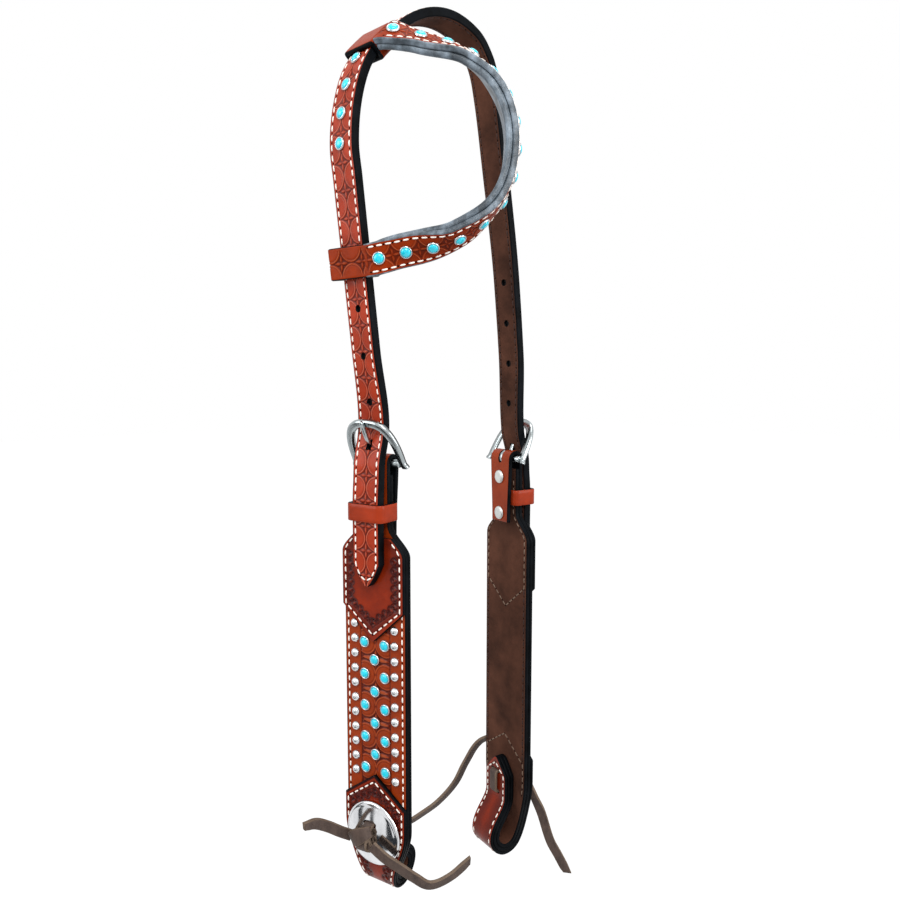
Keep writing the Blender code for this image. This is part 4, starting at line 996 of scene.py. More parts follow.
def crown_strap():
    """The tooled strap over the head, with its billets, holes and near side spots."""
    line = crown_line()
    places = stations(0.0, line.length, FINE)

    def half(at):
        def point(tip):
            share = np.minimum(np.abs(at - tip) / BILLET_POINT, 1.0)
            return POINT_HALF + (STRAP_WIDTH / 2 - POINT_HALF) * share**0.7
        return np.minimum(point(0.0), point(line.length))

    def relief(s, x):
        return lobes(s, x, TOOLING_PITCH, TOOLING_START, LOBE_REACH)

    piece = leather_band("crown_strap_leather", line, places, half, 0.0, STRAP_THICK, 45,
                         (finishes["strap"], finishes["edge"], finishes["back"]), relief)
    spots = []
    for side, inward in (("near", 1), ("far", -1)):
        level = place_at_level(line, side, TONGUE_CROSSING)
        for i in range(1, 5):
            spots.append(level + inward * i * HOLE_PITCH)
    point, along, across, out = line.at(np.array(spots))
    middle = point + out * STRAP_THICK / 2
    cut(piece, "strap_holes", *rods((middle, along, across, out), HOLE / 2, 4 * STRAP_THICK))
    for side in ("near", "far"):
        cut(piece, "tongue_hole", *tongue_passage(side))
    dress(piece, "strap", "tooled_leather", "crown_strap_face", "crown_strap_lining")

    inset = STRAP_WIDTH / 2 - EDGE_INSET
    tip, starts = 0.0034, np.linspace(0.0055, 1.2 * BILLET_POINT, 9)
    side_run = [(float(p), min(inset, float(half(np.array([p]))[0]) - 0.0020)) for p in starts]
    far_run = [(line.length - p, x) for p, x in side_run[::-1]]
    path = [(tip, 0.0)] + side_run + far_run + [(line.length - tip, 0.0)]
    for name, level, yarn, facing in (
        ("crown_front", STRAP_THICK, "thread", 1.0),
        ("crown_back", 0.0, "brown_thread", -1.0),
    ):
        sew(name, line, both_sides(path), level, "strap", finishes[yarn], facing)

    first = place_where(line, 0.0, line.length / 2, lambda p: p.z < CROWN_SPOT_LEVEL)
    at = first + np.arange(4) * CROWN_SPOT_PITCH
    point, along, across, out = line.at(at)
    stone_spots("crown_spots", (point + out * STRAP_THICK, along, across, out), "strap")
    return line


def sleeve(name, line, middle, outline_of, relief=None):
    """A loop of leather round the strap. outline_of(grow) gives the corners of its section."""
    outer, inner = outline_of(SLEEVE_THICK), outline_of(0.0)
    places = stations(middle - SLEEVE_LONG / 2, middle + SLEEVE_LONG / 2, FINE)
    point, _, across, out = line.at(places)
    around, count = len(outer), len(places)
    points, marks = [], []
    for i in range(count):
        from_end = min(i, count - 1 - i) * FINE
        pull = SLEEVE_EDGE * (1 - math.sqrt(1 - (1 - min(from_end / SLEEVE_EDGE, 1.0)) ** 2))
        ring, dark = outer + (inner - outer) * pull / SLEEVE_THICK, np.zeros(around)
        if relief is not None:
            rise, dark = relief(places[i], ring)
            ring = ring + unit(outer - inner) * rise[..., None]
        points.append(point[i] + ring[:, :1] * across[i] + ring[:, 1:] * out[i])
        marks.append(dark)
    for i in range(count)[::-1]:
        points.append(point[i] + inner[:, :1] * across[i] + inner[:, 1:] * out[i])
        marks.append(np.zeros(around))
    kinds = np.full(2 * count, 0)
    kinds[count:] = 2
    kinds[[0, count - 2, count - 1, 2 * count - 1]] = 1
    return make_piece(name, np.concatenate(points), grid_faces(2 * count, around, True),
                      (finishes["ear"], finishes["edge"], finishes["back"]),
                      np.repeat(kinds, around).tolist(), np.concatenate(marks))


def rounded_outline(corners, radii, steps=6, run=10):
    """Points round a section with four rounded corners, close together along its long sides."""
    found = []
    count = len(corners)
    for i in range(count):
        here, radius, next_radius = np.array(corners[i]), radii[i], radii[(i + 1) % count]
        last = unit(np.array(corners[i - 1]) - here)
        following = unit(np.array(corners[(i + 1) % count]) - here)
        centre = here + (last + following) * radius
        for k in range(steps + 1):
            turn = math.pi / 2 * k / steps
            found.append(centre - following * radius * math.cos(turn) - last * radius * math.sin(turn))
        end = found[-1]
        upcoming = np.array(corners[(i + 1) % count]) - following * next_radius
        for k in range(1, run):
            found.append(end + (upcoming - end) * k / run)
    return np.array(found)


def sleeve_outline(extra):
    """The section of an ear sleeve, which swells by extra on the side away from the ear."""
    side, slack = STRAP_WIDTH / 2 + SLEEVE_SIDE, SLEEVE_SLACK
    sunk = extra / STRAP_WIDTH * SLEEVE_SINK
    join = SLEEVE_JOIN_ROUND if extra else SLEEVE_ROUND

    def outline(grow):
        corners = (
            (side + grow, -slack - grow),
            (side + grow, STRAP_THICK + slack + grow - (sunk if grow else 0)),
            (-side - grow, STRAP_THICK + slack + extra + grow),
            (-side - grow, -slack - grow),
        )
        radii = (SLEEVE_ROUND, join, SLEEVE_ROUND, SLEEVE_ROUND) if grow else (SLEEVE_INNER_ROUND,) * 4
        return rounded_outline(corners, radii, run=40)

    return outline


def ear_parts(line):
    """The two sleeves on the strap and the spotted band between them."""
    lower = place_where(line, 0.0, line.length / 2, lambda p: p.z < LOWER_SLEEVE_LEVEL)
    upper = line.marks[9] + UPPER_SLEEVE_PAST

    def sleeve_relief(place, ring):
        s = np.full(len(ring), place - lower)
        rise, dark = lobes(ring[:, 0], s, TOOLING_PITCH, 0.75 * TOOLING_PITCH, LOBE_REACH)
        facing = ring[:, 1] > STRAP_THICK
        return np.where(facing, rise, 0.0), np.where(facing, dark, 0.0)

    for name, node, middle, extra, body, relief in (
        ("lower_sleeve_leather", "ear_lower_sleeve", lower, SLEEVE_SWELL, "ear_sleeve", sleeve_relief),
        ("upper_sleeve_leather", "ear_upper_sleeve", upper, 0.0, "strap", None),
    ):
        dress(sleeve(name, line, middle, sleeve_outline(extra), relief), body, "tooled_leather", node)

    band = ear_line(line, lower, upper)

    def half(at):
        return np.full(len(at), EAR_HALF)

    def band_relief(s, x):
        rise, dark = lobes(s, x, EAR_SPOT_PITCH, EAR_SPOT_FIRST - EAR_SPOT_PITCH / 2, EAR_LOBE_REACH)
        clear_of_sleeve = ease((s - 0.0004) / 0.0015)
        return rise * 0.7 * clear_of_sleeve, dark * 0.75 * clear_of_sleeve

    low_end = band.points[0]
    body = ("ear_sleeve", "strap", tuple(low_end), (low_end[0], low_end[1], band.points[:, 2].max()))
    face = leather_band("ear_band_leather", band, stations(0.0, band.length, FINE), half, -EAR_FACE, 0.0, 41,
                        (finishes["ear"], finishes["padding"], finishes["edge"]), band_relief)
    dress(face, body, "tooled_leather", "ear_band_face")
    pad = leather_band("ear_band_padding", band, stations(0.0, band.length, LINING_STEP), half,
                       -EAR_DEEP, -EAR_FACE, 9, (finishes["padding"],) * 3, soft=PAD_EDGE, backs=9)
    dress(pad, body, "rough_leather", "ear_band_lining")
    inset = EAR_HALF - EDGE_INSET + 0.0002
    path = [(0.003, inset), (band.length - 0.004, inset)]
    sew("ear_band", band, both_sides(path), 0.0, body, finishes["thread"])
    point, along, across, out = band.at(EAR_SPOT_FIRST + np.arange(EAR_SPOTS) * EAR_SPOT_PITCH)
    stone_spots("ear_spots", (point, along, across, out), body)


def cheek_widths(line):
    """Where the cheek crosses the bar, its knots of (place, half width), and its half width to the tip."""
    bar_top, bar_out, loop_bottom = line.marks[3], line.marks[5], line.marks[7]
    widths = (
        (0.0, TAB_HALF),
        (bar_top, NECK_WIDTH / 2),
        (bar_out + NECK_END, NECK_WIDTH / 2),
        (bar_out + FULL_WIDTH, CHEEK_WIDTH / 2),
        (bar_out + LOOP_NARROWS, CHEEK_WIDTH / 2),
        (loop_bottom, LOOP_HALF),
    )

    def leather_half(at):
        share = np.clip((line.length - at) / LOOP_POINT, 0, 1)
        return POINT_HALF + (eased(widths, at) - POINT_HALF) * share**0.8

    return bar_out, widths, leather_half


def shell_relief(places, x, path_of):
    """Fan stamps along both edges of an overlay. path_of(flip) is the border on one side."""
    rise, dark = np.zeros(x.shape), np.zeros(x.shape)
    for flip in (1, -1):
        rise, dark = shells(places, x, rise, dark, path_of(flip), inward=-flip)
    return rise, dark


def cheek(side):
    """The folded cheek: face and lining, an overlay at each end, and their seams, slits and spots."""
    line = cheek_line(side)
    bar_out, widths, half = cheek_widths(line)
    end = line.length
    up, across, out = side_ways(side)
    low, high = FACE, FACE + FIT + OVERLAY
    painted = (finishes["overlay"], finishes["edge"], finishes["edge"])

    def field(s, x):
        return field_tooling(s - bar_out, x)

    neck_end, field_start, field_end = bar_out + NECK_END, bar_out + FIELD_START, bar_out + FIELD_END
    places = np.concatenate([
        stations(0.0, neck_end, COARSE)[:-1],
        stations(neck_end, field_start, COARSE)[:-1],
        stations(field_start, field_end, FINE)[:-1],
        stations(field_end, end, COARSE),
    ])
    face = leather_band(f"{side}_cheek_leather", line, places, half, 0.0, FACE, 101,
                        (finishes["cheek"], finishes["edge"], finishes["edge"]), field)
    slot_tool = slot_shape(TONGUE_SLOT_LONG, TONGUE_SLOT_WIDE, 0.04)
    slot_at = side_point(side, 0, 0, TONGUE_SLOT_UP)
    cut(face, f"{side}_tongue_slot", *place_shape(slot_tool, slot_at, up, across, out))
    dress(face, "strap", "tooled_leather", f"{side}_cheek_face")

    back_places = stations(bar_out + 0.0065, end - 2 * FIT, LINING_STEP)
    backing = leather_band(f"{side}_cheek_lining", line, back_places, half, -FIT - BACKING, 0.0, 17,
                           (finishes["back"], finishes["edge"], finishes["back"]), backs=17)
    dress(backing, "strap", "rough_leather", f"{side}_cheek_backing")

    top, shoulder, point = bar_out + UPPER_TOP, bar_out + UPPER_SHOULDER, bar_out + UPPER_POINT

    def upper_half(at):
        share = np.clip((point - at) / (point - shoulder), 0, None)
        return np.minimum(eased(widths, at), POINT_HALF + share * CHEEK_WIDTH / 2)

    def upper_path(flip, start, until, tip, by):
        at = np.linspace(start, until, 24)
        return [(p, flip * (float(upper_half(np.array([p]))[0]) - by)) for p in at] + [(tip, 0.0)]

    def upper_border(flip):
        return upper_path(flip, top + 0.010, shoulder - 0.001, point - 0.0078, SHELL_INSET)

    def upper_relief(s, x):
        rise, dark = shell_relief(s, x, upper_border)
        return rise, burnished(s, x, dark, upper_half, point, shoulder, 0.0)

    upper = leather_band(f"{side}_upper_overlay_leather", line, stations(top, point, FINE), upper_half,
                         low, high, 109, painted, upper_relief)
    dress(upper, "strap", "tooled_leather", f"{side}_upper_overlay")

    start, full = bar_out + LOWER_POINT, bar_out + LOWER_SHOULDER

    def lower_half(at):
        share = np.clip((at - start) / (full - start), 0, None)
        return np.minimum(half(at), POINT_HALF + share * CHEEK_WIDTH / 2)

    def lower_path(flip, by, tip_by, until):
        at = np.linspace(full + 0.0015, until, 60)
        run = [(p, flip * (float(lower_half(np.array([p]))[0]) - by)) for p in at]
        return [(start + tip_by, 0.0)] + run

    def lower_border(flip):
        return lower_path(flip, SHELL_INSET, 0.0068, bar_out + 0.247)

    def lower_relief(s, x):
        rise, dark = shell_relief(s, x, lower_border)
        return rise, burnished(s, x, dark, lower_half, start, full, 1.0)

    fine_end = bar_out + 0.245
    lower_places = np.concatenate([stations(start, fine_end, FINE)[:-1], stations(fine_end, end, COARSE)])
    lower = leather_band(f"{side}_lower_overlay_leather", line, lower_places, lower_half, low, high, 109,
                         painted, lower_relief)
    dress(lower, "strap", "tooled_leather", f"{side}_lower_overlay")

    for piece in (face, backing, lower):
        cut_slits(piece, side, 0, 0.05)

    field_run = [(bar_out + 0.083, CHEEK_WIDTH / 2 - FACE_SEAM), (full - 0.001, CHEEK_WIDTH / 2 - FACE_SEAM)]
    field_runs = both_sides(field_run)
    seam_end, seam_tip = shoulder + 0.0006, point - 0.0036
    upper_runs, lower_runs, back_points = [], [], []
    for flip in (1, -1):
        upper_runs.append(upper_path(flip, top + 0.002, seam_end, seam_tip, FACE_SEAM))
        lower_run = lower_path(flip, POINT_SEAM, POINT_SEAM_TIP, end - 0.009)
        lower_runs.append(lower_run + [(end - 0.0036, 0.0)])
        back_points.append(upper_path(flip, top - 0.028, seam_end, seam_tip, FACE_SEAM))
    back_points += [lower_path(flip, POINT_SEAM, POINT_SEAM_TIP, bar_out + 0.222) for flip in (1, -1)]
    back_level = -FIT - BACKING
    for name, runs, level, yarn, facing in (
        ("field", field_runs, FACE, "thread", 1.0),
        ("upper_overlay", upper_runs, high, "thread", 1.0),
        ("lower_overlay", lower_runs, high, "thread", 1.0),
        ("back_points", back_points, back_level, "worn_thread", -1.0),
        ("back", field_runs, back_level, "brown_thread", -1.0),
    ):
        sew(f"{side}_{name}", line, runs, level, "strap", finishes[yarn], facing)
    cheek_spots(side)


def cheek_spots(side):
    """Stones in pairs with one between each two pairs, and a row of domes down each side."""
    up, across, out = side_ways(side)

    def on_face(drops, asides):
        count = len(drops)
        points = np.concatenate([side_point(side, a, CHEEK_OUTER, -d) for d, a in zip(drops, asides)])
        return points, np.repeat(up, count, 0), np.repeat(across, count, 0), np.repeat(out, count, 0)

    drops, asides = [], []
    for i in range(5):
        level = FIRST_STONE + i * STONE_PITCH
        drops += [level, level]
        asides += [-STONE_ASIDE, STONE_ASIDE]
        if i < 4:
            drops.append(level + STONE_PITCH / 2)
            asides.append(0.0)
    stone_spots(f"{side}_cheek_stones", on_face(drops, asides), "strap")
    drops = [FIRST_DOME + i * DOME_PITCH for i in range(11) for _ in range(2)]
    asides = [sign * DOME_ASIDE for _ in range(11) for sign in (-1, 1)]
    silver_spots(f"{side}_cheek_domes", on_face(drops, asides), "strap")


def slot_shape(long_way, wide, deep, sides=8):
    """An oblong tool: long along its first axis, and deep along its third."""
    radius = wide / 2
    ring = []
    for end in (1, -1):
        for i in range(sides + 1):
            turn = math.pi * (i / sides - 0.5)
            reach = long_way / 2 - radius + radius * math.cos(turn)
            ring.append((end * reach, end * radius * math.sin(turn)))
    points = [(x, y, -deep / 2) for x, y in ring] + [(x, y, deep / 2) for x, y in ring]
    return np.array(points), tube_faces(2, len(ring))


def place_shape(shape, point, first, second, third):
    """A shape set at a point, its own axes along the three ways."""
    points, faces = shape
    return point + points[:, :1] * first + points[:, 1:2] * second + points[:, 2:] * third, faces


def cut_slits(piece, side, level, deep):
    """The two slits that the lace passes through."""
    up, across, out = side_ways(side)
    slit = slot_shape(SLIT_LONG, SLIT_WIDE, deep)
    for height in SLIT_LEVELS:
        cut(piece, "slit", *place_shape(slit, side_point(side, 0, level, height), across, up, out))


def buckle(side):
    """A horseshoe frame with a flat face between bevels, on its heel bar."""
    steps = 96
    outer, inner = [], []
    for i in range(steps + 1):
        turn = math.pi * (i / steps) * 1.24 - math.pi * 0.12
        for ring, width, height in (
            (outer, FRAME_WIDTH, FRAME_HEIGHT),
            (inner, FRAME_WIDTH - 2 * FRAME_RIM, FRAME_HEIGHT - FRAME_RIM),
        ):
            wide = math.copysign(abs(math.cos(turn)) ** 0.7, math.cos(turn)) * width / 2
            tall = math.sin(turn)
            if tall < 0:
                tall = tall / math.sin(math.pi * 0.12) * 0.0025
                wide += math.copysign(0.0022 * tall / 0.0025, wide)
            else:
                tall = tall**0.75 * height
            ring.append(np.array((wide, 0.0, tall)))
    outer, inner = np.array(outer), np.array(inner)
    shares = [(0.0, -0.5), (0.0, 0.12), (0.03, 0.22), (0.12, 0.44), (0.17, 0.49), (0.20, 0.5), (0.74, 0.5),
              (0.78, 0.49), (0.84, 0.42), (0.97, 0.12), (1.0, 0.02), (1.0, -0.5)]
    points = []
    for i in range(steps + 1):
        for share, level in shares:
            place = outer[i] + (inner[i] - outer[i]) * share
            points.append(place + np.array((0, level * FRAME_THICK, 0)))
    bar_shape = turned([(BAR_RADIUS * 0.9, -0.0148), (BAR_RADIUS, -0.0144), (BAR_RADIUS, 0.0144),
                        (BAR_RADIUS * 0.9, 0.0148)], 24)
    lean = Matrix.Rotation(-LEAN, 4, "X")
    horseshoe = ([lean @ Vector(p) for p in points], tube_faces(steps + 1, len(shares)))
    points, faces = merged(horseshoe, ([(p[2], p[0], p[1]) for p in bar_shape[0]], bar_shape[1]))
    matrix = side_matrix(side)
    piece = make_piece(f"{side}_buckle", [matrix @ Vector(p) for p in points], faces, [finishes["nickel"]])
    dress(piece, f"{side}_buckle", "nickel", f"{side}_buckle_frame")


def tongue_line():
    """The tongue's way from its eye, through the strap's hole, to its rest on the frame."""
    up = Vector((0, math.sin(LEAN), math.cos(LEAN)))
    front = Vector((0, math.cos(LEAN), -math.sin(LEAN)))
    stand = (FRAME_THICK + TONGUE_THICK) / 2 + FIT
    eye = FOLD_INNER + 0.0008
    start = Vector((0, eye * math.sin(math.pi / 4), eye * math.cos(math.pi / 4)))
    crossing = Vector((0, (OVER_FOLD + UNDER_ARCH + STRAP_THICK) / 2, TONGUE_CROSSING))
    landing = up * (FRAME_HEIGHT - 2.2 * FRAME_RIM) + front * stand
    rest = up * (FRAME_HEIGHT - FRAME_RIM / 2) + front * stand
    tip = up * (FRAME_HEIGHT + FRAME_RIM / 4) + front * stand
    across = Vector((1, 0, 0))
    return [
        (start, Vector((0, 1, 1)), across), (crossing, Vector((0, 5.0, 6.3)), across),
        (landing, up + front * 0.1, across), (rest, up, across), (tip, up - front * 0.3, across),
    ]


def tongue_passage(side):
    """The room that the tongue needs in the strap, lying still and swung out."""
    line = Line(moved(tongue_line(), side_matrix(side)))
    half, play = TONGUE_WIDE / 2 + TONGUE_PLAY, TONGUE_THICK / 2 + TONGUE_PLAY
    places = stations(0.0, line.marks[2], TONGUE_THICK / 2)
    corners = ((-half, -play - TONGUE_SWEEP), (half, -play - TONGUE_SWEEP), (half, play), (-half, play))
    points = np.concatenate([line.on(places, np.full(len(places), u), np.full(len(places), v))[:, None]
                             for u, v in corners], 1).reshape(-1, 3)
    return points, tube_faces(len(places), 4)


def tongue(side):
    """A round-backed tongue, narrower to its tip, on an eye that turns on the bar."""
    line = Line(moved(tongue_line(), side_matrix(side)))
    places = stations(0.0, line.length, FINE)
    point, _, across, out = line.at(places)
    sides = 20
    share = places / line.length
    half = TONGUE_WIDE / 2 * (1.0 - 0.25 * ease(share))
    tip = np.sqrt(np.clip(1 - np.clip((share - 0.93) / 0.07, 0, 1) ** 2, 0.02, 1))
    points = []
    for i in range(len(places)):
        for k in range(sides):
            turn = 2 * math.pi * k / sides
            x = math.copysign(abs(math.cos(turn)) ** 0.6, math.cos(turn)) * half[i] * tip[i]
            z = math.copysign(abs(math.sin(turn)) ** 0.7, math.sin(turn)) * TONGUE_THICK / 2
            points.append(point[i] + across[i] * x + out[i] * z * (0.4 + 0.6 * tip[i]))
    matrix = side_matrix(side)
    eye, around = [], 40
    inner, outer = BAR_RADIUS + FIT, BAR_RADIUS + 0.0027
    corners = ((outer, -0.0010), (outer, 0.0), (outer, 0.0010), (outer - 0.0004, 0.0014), (inner, 0.0014),
               (inner, -0.0014), (outer - 0.0004, -0.0014))
    for i in range(around):
        turn = 2 * math.pi * i / around
        for radius, aside in corners:
            eye.append(matrix @ Vector((aside, radius * math.cos(turn), radius * math.sin(turn))))
    shank = (points, tube_faces(len(places), sides))
    whole = merged(shank, (eye, grid_faces(around, len(corners), True)))
    piece = make_piece(f"{side}_tongue_shank", *whole, [finishes["nickel"]])
    dress(piece, f"{side}_tongue", "nickel", f"{side}_buckle_tongue")


def keeper(side):
    """A plain loop of leather round neck and billet."""
    back, front = -KEEPER_THICK - FIT / 2, BILLET_OUTER + FIT
    wide = NECK_WIDTH / 2 + 0.0005

    def outline(grow, radii):
        corners = ((wide + grow, back + KEEPER_THICK - grow), (wide + grow, front + grow),
                   (-wide - grow, front + grow), (-wide - grow, back + KEEPER_THICK - grow))
        return rounded_outline(corners, radii)

    outer = outline(KEEPER_THICK, (0.0034, 0.0042, 0.0042, 0.0034))
    inner = outline(0.0, (0.0014, 0.0022, 0.0022, 0.0014))
    controls = [(Vector((0, 0, past - KEEPER_DROP[side])), Vector((0, 0, 1)), Vector((-1, 0, 0)))
                for past in (-KEEPER_LONG, KEEPER_LONG)]
    line = Line(moved(controls, side_matrix(side)))
    levels = [(-0.0050, 0.35), (-0.0049, 0.12), (-0.0046, 0.0), (-0.0025, 0.0), (0.0, 0.0), (0.0025, 0.0),
              (0.0046, 0.0), (0.0049, 0.12), (0.0050, 0.35), (0.0050, 1.0), (0.0, 1.0), (-0.0050, 1.0)]
    points = []
    for level, share in levels:
        point, _, across, out = line.at(KEEPER_LONG + level)
        ring = outer + (inner - outer) * share
        points.append(point + ring[:, :1] * across + ring[:, 1:] * out)
    kinds = np.array([1, 0, 0, 0, 0, 0, 0, 1, 1, 0, 0, 1])
    faces = grid_faces(len(levels), len(outer), True)
    piece = make_piece(f"{side}_keeper_loop", np.concatenate(points), faces,
                       (finishes["plain"], finishes["edge"]), np.repeat(kinds, len(outer)).tolist())
    dress(piece, f"{side}_keeper_loop", "plain_leather", f"{side}_keeper")


def turned_on_side(profile, sides, centre, matrix):
    """A turned body whose axis is the cheek's outward way."""
    points, faces = turned(profile, sides)
    placed = [tuple(matrix @ (Vector(centre) + Vector((x, z, y)))) for x, y, z in points]
    return np.array(placed), [face[::-1] for face in faces]


def screws(side):
    """The two-part screws that hold the tab, with a low head on each face."""
    half = CHEEK_OUTER + FIT
    r = SCREW_RADIUS
    head = [(r * 0.5, -half - SCREW_PROUD), (r * 0.86, -half - 0.00105), (r * 0.97, -half - 0.0007),
            (r, -half - 0.0002), (r, -half), (SCREW_SHANK, -half)]
    profile = head + [(radius, -height) for radius, height in head[::-1]]
    for name, drop in SCREW_DROP.items():
        points, faces = turned_on_side(profile, 36, (0, 0, -drop), side_matrix(side))
        piece = make_piece(f"{side}_{name}_screw_pair", points, faces, [finishes["screw"]])
        dress(piece, "strap", "nickel", f"{side}_{name}_screw")


def concho(side):
    """A domed mirror plate with a bright rolled rim and two slots."""
    seat = OVERLAY_OUTER + 1.5 * FIT
    front, back = [], []
    for share in np.linspace(0.02, 1.0, 22):
        swell = CONCHO_DOME * (1 - share * share)
        bead = 0.00035 * math.exp(-(((share - 0.965) / 0.022) ** 2))
        valley = 0.0002 * math.exp(-(((share - 0.915) / 0.02) ** 2))
        front.append((CONCHO_RADIUS * share, seat + CONCHO_SHEET + swell + (bead - valley)))
        back.append((CONCHO_RADIUS * share * 0.985, seat + swell))
    front[-1] = (CONCHO_RADIUS * 0.998, seat + CONCHO_SHEET * 0.7)
    points, faces = turned_on_side(front + back[::-1], 96, (0, 0, -CONCHO_DROP), side_matrix(side))
    piece = make_piece(f"{side}_concho_plate", points, faces, [finishes["silver"]])
    cut_slits(piece, side, seat, 0.02)
    dress(piece, "strap", "silver", f"{side}_concho")


def ribbon(name, controls, widths, thick=LACE_THICK, step=COARSE):
    """A length of flat lace with raw edges. widths are knots of (share, width)."""
    line = Line(controls)
    places = stations(0.0, line.length, step)

    def half(at):
        return eased([(s * line.length, w / 2) for s, w in widths], at)

    return leather_band(name, line, places, half, -thick / 2, thick / 2, 7,
                        (finishes["lace"], finishes["raw"], finishes["lace"]), soft=LACE_EDGE)


def knot(side):
    """The lace's knot on the concho, in four bands: the wrap, the fold over it, the throat and the heel.

    A row of a band is a place in millimetres from the knot's middle, and the way across the lace there."""
    matrix = side_matrix(side)
    sign = SIGN[side]
    base = OVERLAY_OUTER + CONCHO_DOME + CONCHO_SHEET + 2.5 * FIT
    centre = Vector((-0.0035 * sign, base + 0.0036 + FIT, -CONCHO_DROP))

    def at(rows):
        made = []
        for i, (u, v, w, au, av, aw) in enumerate(rows):
            before, after = rows[max(i - 1, 0)], rows[min(i + 1, len(rows) - 1)]
            along = Vector((sign * (after[0] - before[0]), after[1] - before[1], after[2] - before[2]))
            made.append((centre + Vector((sign * u, v, w)) * 0.001, along, Vector((sign * au, av, aw))))
        return moved(made, matrix)

    bands = (
        ("wrap", ((6.0, -2.6, 4.6, -0.5, 0, 1), (4.0, 0.9, 4.0, -0.55, 0, 1), (0.2, 2.6, 2.0, -0.6, 0, 1),
                  (-3.8, 1.7, -0.8, -0.7, 0, 1), (-5.9, -0.8, -2.8, -0.8, 0, 1),
                  (-5.6, -2.8, -3.6, -0.8, 0, 1)),
         ((0, 0.0062), (0.45, 0.0094), (1, 0.0078))),
        ("fold", ((5.2, -1.8, 1.4, 1, 0, 0.5), (3.8, 0.6, -0.6, 1, 0, 0.45), (2.6, 1.2, -3.4, 1, 0, 0.3),
                  (1.9, 0.0, -6.0, 1, 0, 0.1), (1.6, -2.2, -7.2, 1, 0, 0)),
         ((0, 0.0035), (0.5, 0.0062), (1, 0.0088))),
        ("throat", ((3.5, -6.4, 7.0, 1, 0, 0), (3.5, -4.6, 6.9, 1, 0, 0), (3.0, -3.3, 5.4, 1, 0, 0),
                    (2.2, -2.6, 1.5, 1, 0, 0), (2.6, -2.9, -2.5, 1, 0, 0), (3.3, -3.5, -5.6, 1, 0, 0),
                    (3.5, -4.6, -6.9, 1, 0, 0), (3.5, -6.4, -7.0, 1, 0, 0)),
         ((0, 0.0060), (0.5, 0.0062), (1, 0.0060))),
        ("heel", ((-6.4, -1.4, -0.6, 0, 0.2, 1), (-3.0, -0.9, -2.6, 0, 0, 1), (1.4, -0.8, -3.4, 0, 0, 1),
                  (6.6, -1.2, -2.0, 0.1, 0, 1)),
         ((0, 0.0062), (0.5, 0.0076), (1, 0.0064))),
    )
    for i, (label, rows, widths) in enumerate(bands):
        piece = ribbon(f"{side}_knot_{label}", at(rows), widths)
        if i == 0:
            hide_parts(f"{side}_lace_knot")
        ride(piece, "strap")


def bight(side):
    """The lace's hidden part: across the inner tab, and a leg out through each slit."""
    inner = -PLY_STACK - FACE - OVERLAY - 3 * FIT
    outer = OVERLAY_OUTER + CONCHO_DOME + CONCHO_SHEET
    high, low = SLIT_LEVELS
    across = Vector((1, 0, 0))
    bend = 0.0012
    stops = (
        (outer, high, (0, -1, 0)),
        (inner + 0.001, high, (0, -1, 0)),
        (inner - 0.001, high - bend, (0, 0, -1)),
        (inner - 0.001, low + bend, (0, 0, -1)),
        (inner + 0.001, low, (0, 1, 0)),
        (outer, low, (0, 1, 0)),
    )
    controls = [(Vector((0, out, up)), Vector(way), across) for out, up, way in stops]
    piece = ribbon(f"{side}_bight", moved(controls, side_matrix(side)), ((0, LACE_WIDTH), (1, LACE_WIDTH)),
                   LACE_THICK * 0.95, 0.0008)
    dress(piece, "strap", "lace_leather", f"{side}_lace_bight")


def lace_end(name):
    """One free end of a lace, along its route in the photograph."""
    points = [Vector(p) for p in LACES[name]]
    first = (points[1] - points[0]).normalized()
    flat_on = abs(first.z) < abs(first.y) or name.startswith("near")
    across = Vector((0, 0, 1)) if flat_on else Vector((1, 0, 0))
    controls = []
    for i, point in enumerate(points):
        before, after = points[max(i - 1, 0)], points[min(i + 1, len(points) - 1)]
        along = (after - before).normalized()
        across = (across - along * across.dot(along)).normalized()
        twist = Matrix.Rotation(math.radians(LACE_TWIST[name]) * ease(i / 3), 3, along)
        controls.append((point, along, twist @ across))
    line = Line(controls)
    places = stations(0.0, line.length, 0.001)

    def half(at):
        return LACE_WIDTH / 2 * (1.0 - 0.18 * ease(1 - (line.length - at) / LACE_WIDTH))

    piece = leather_band(name + "_lace", line, places, half, -LACE_THICK / 2, LACE_THICK / 2, 9,
                         (finishes["lace"], finishes["raw"], finishes["lace"]), soft=LACE_EDGE, backs=7,
                         slant=0.7)
    dress(piece, "strap", "lace_leather", name)
    path = [tuple(p) for p in line.at(stations(0.0, line.length, 0.002))[0]]


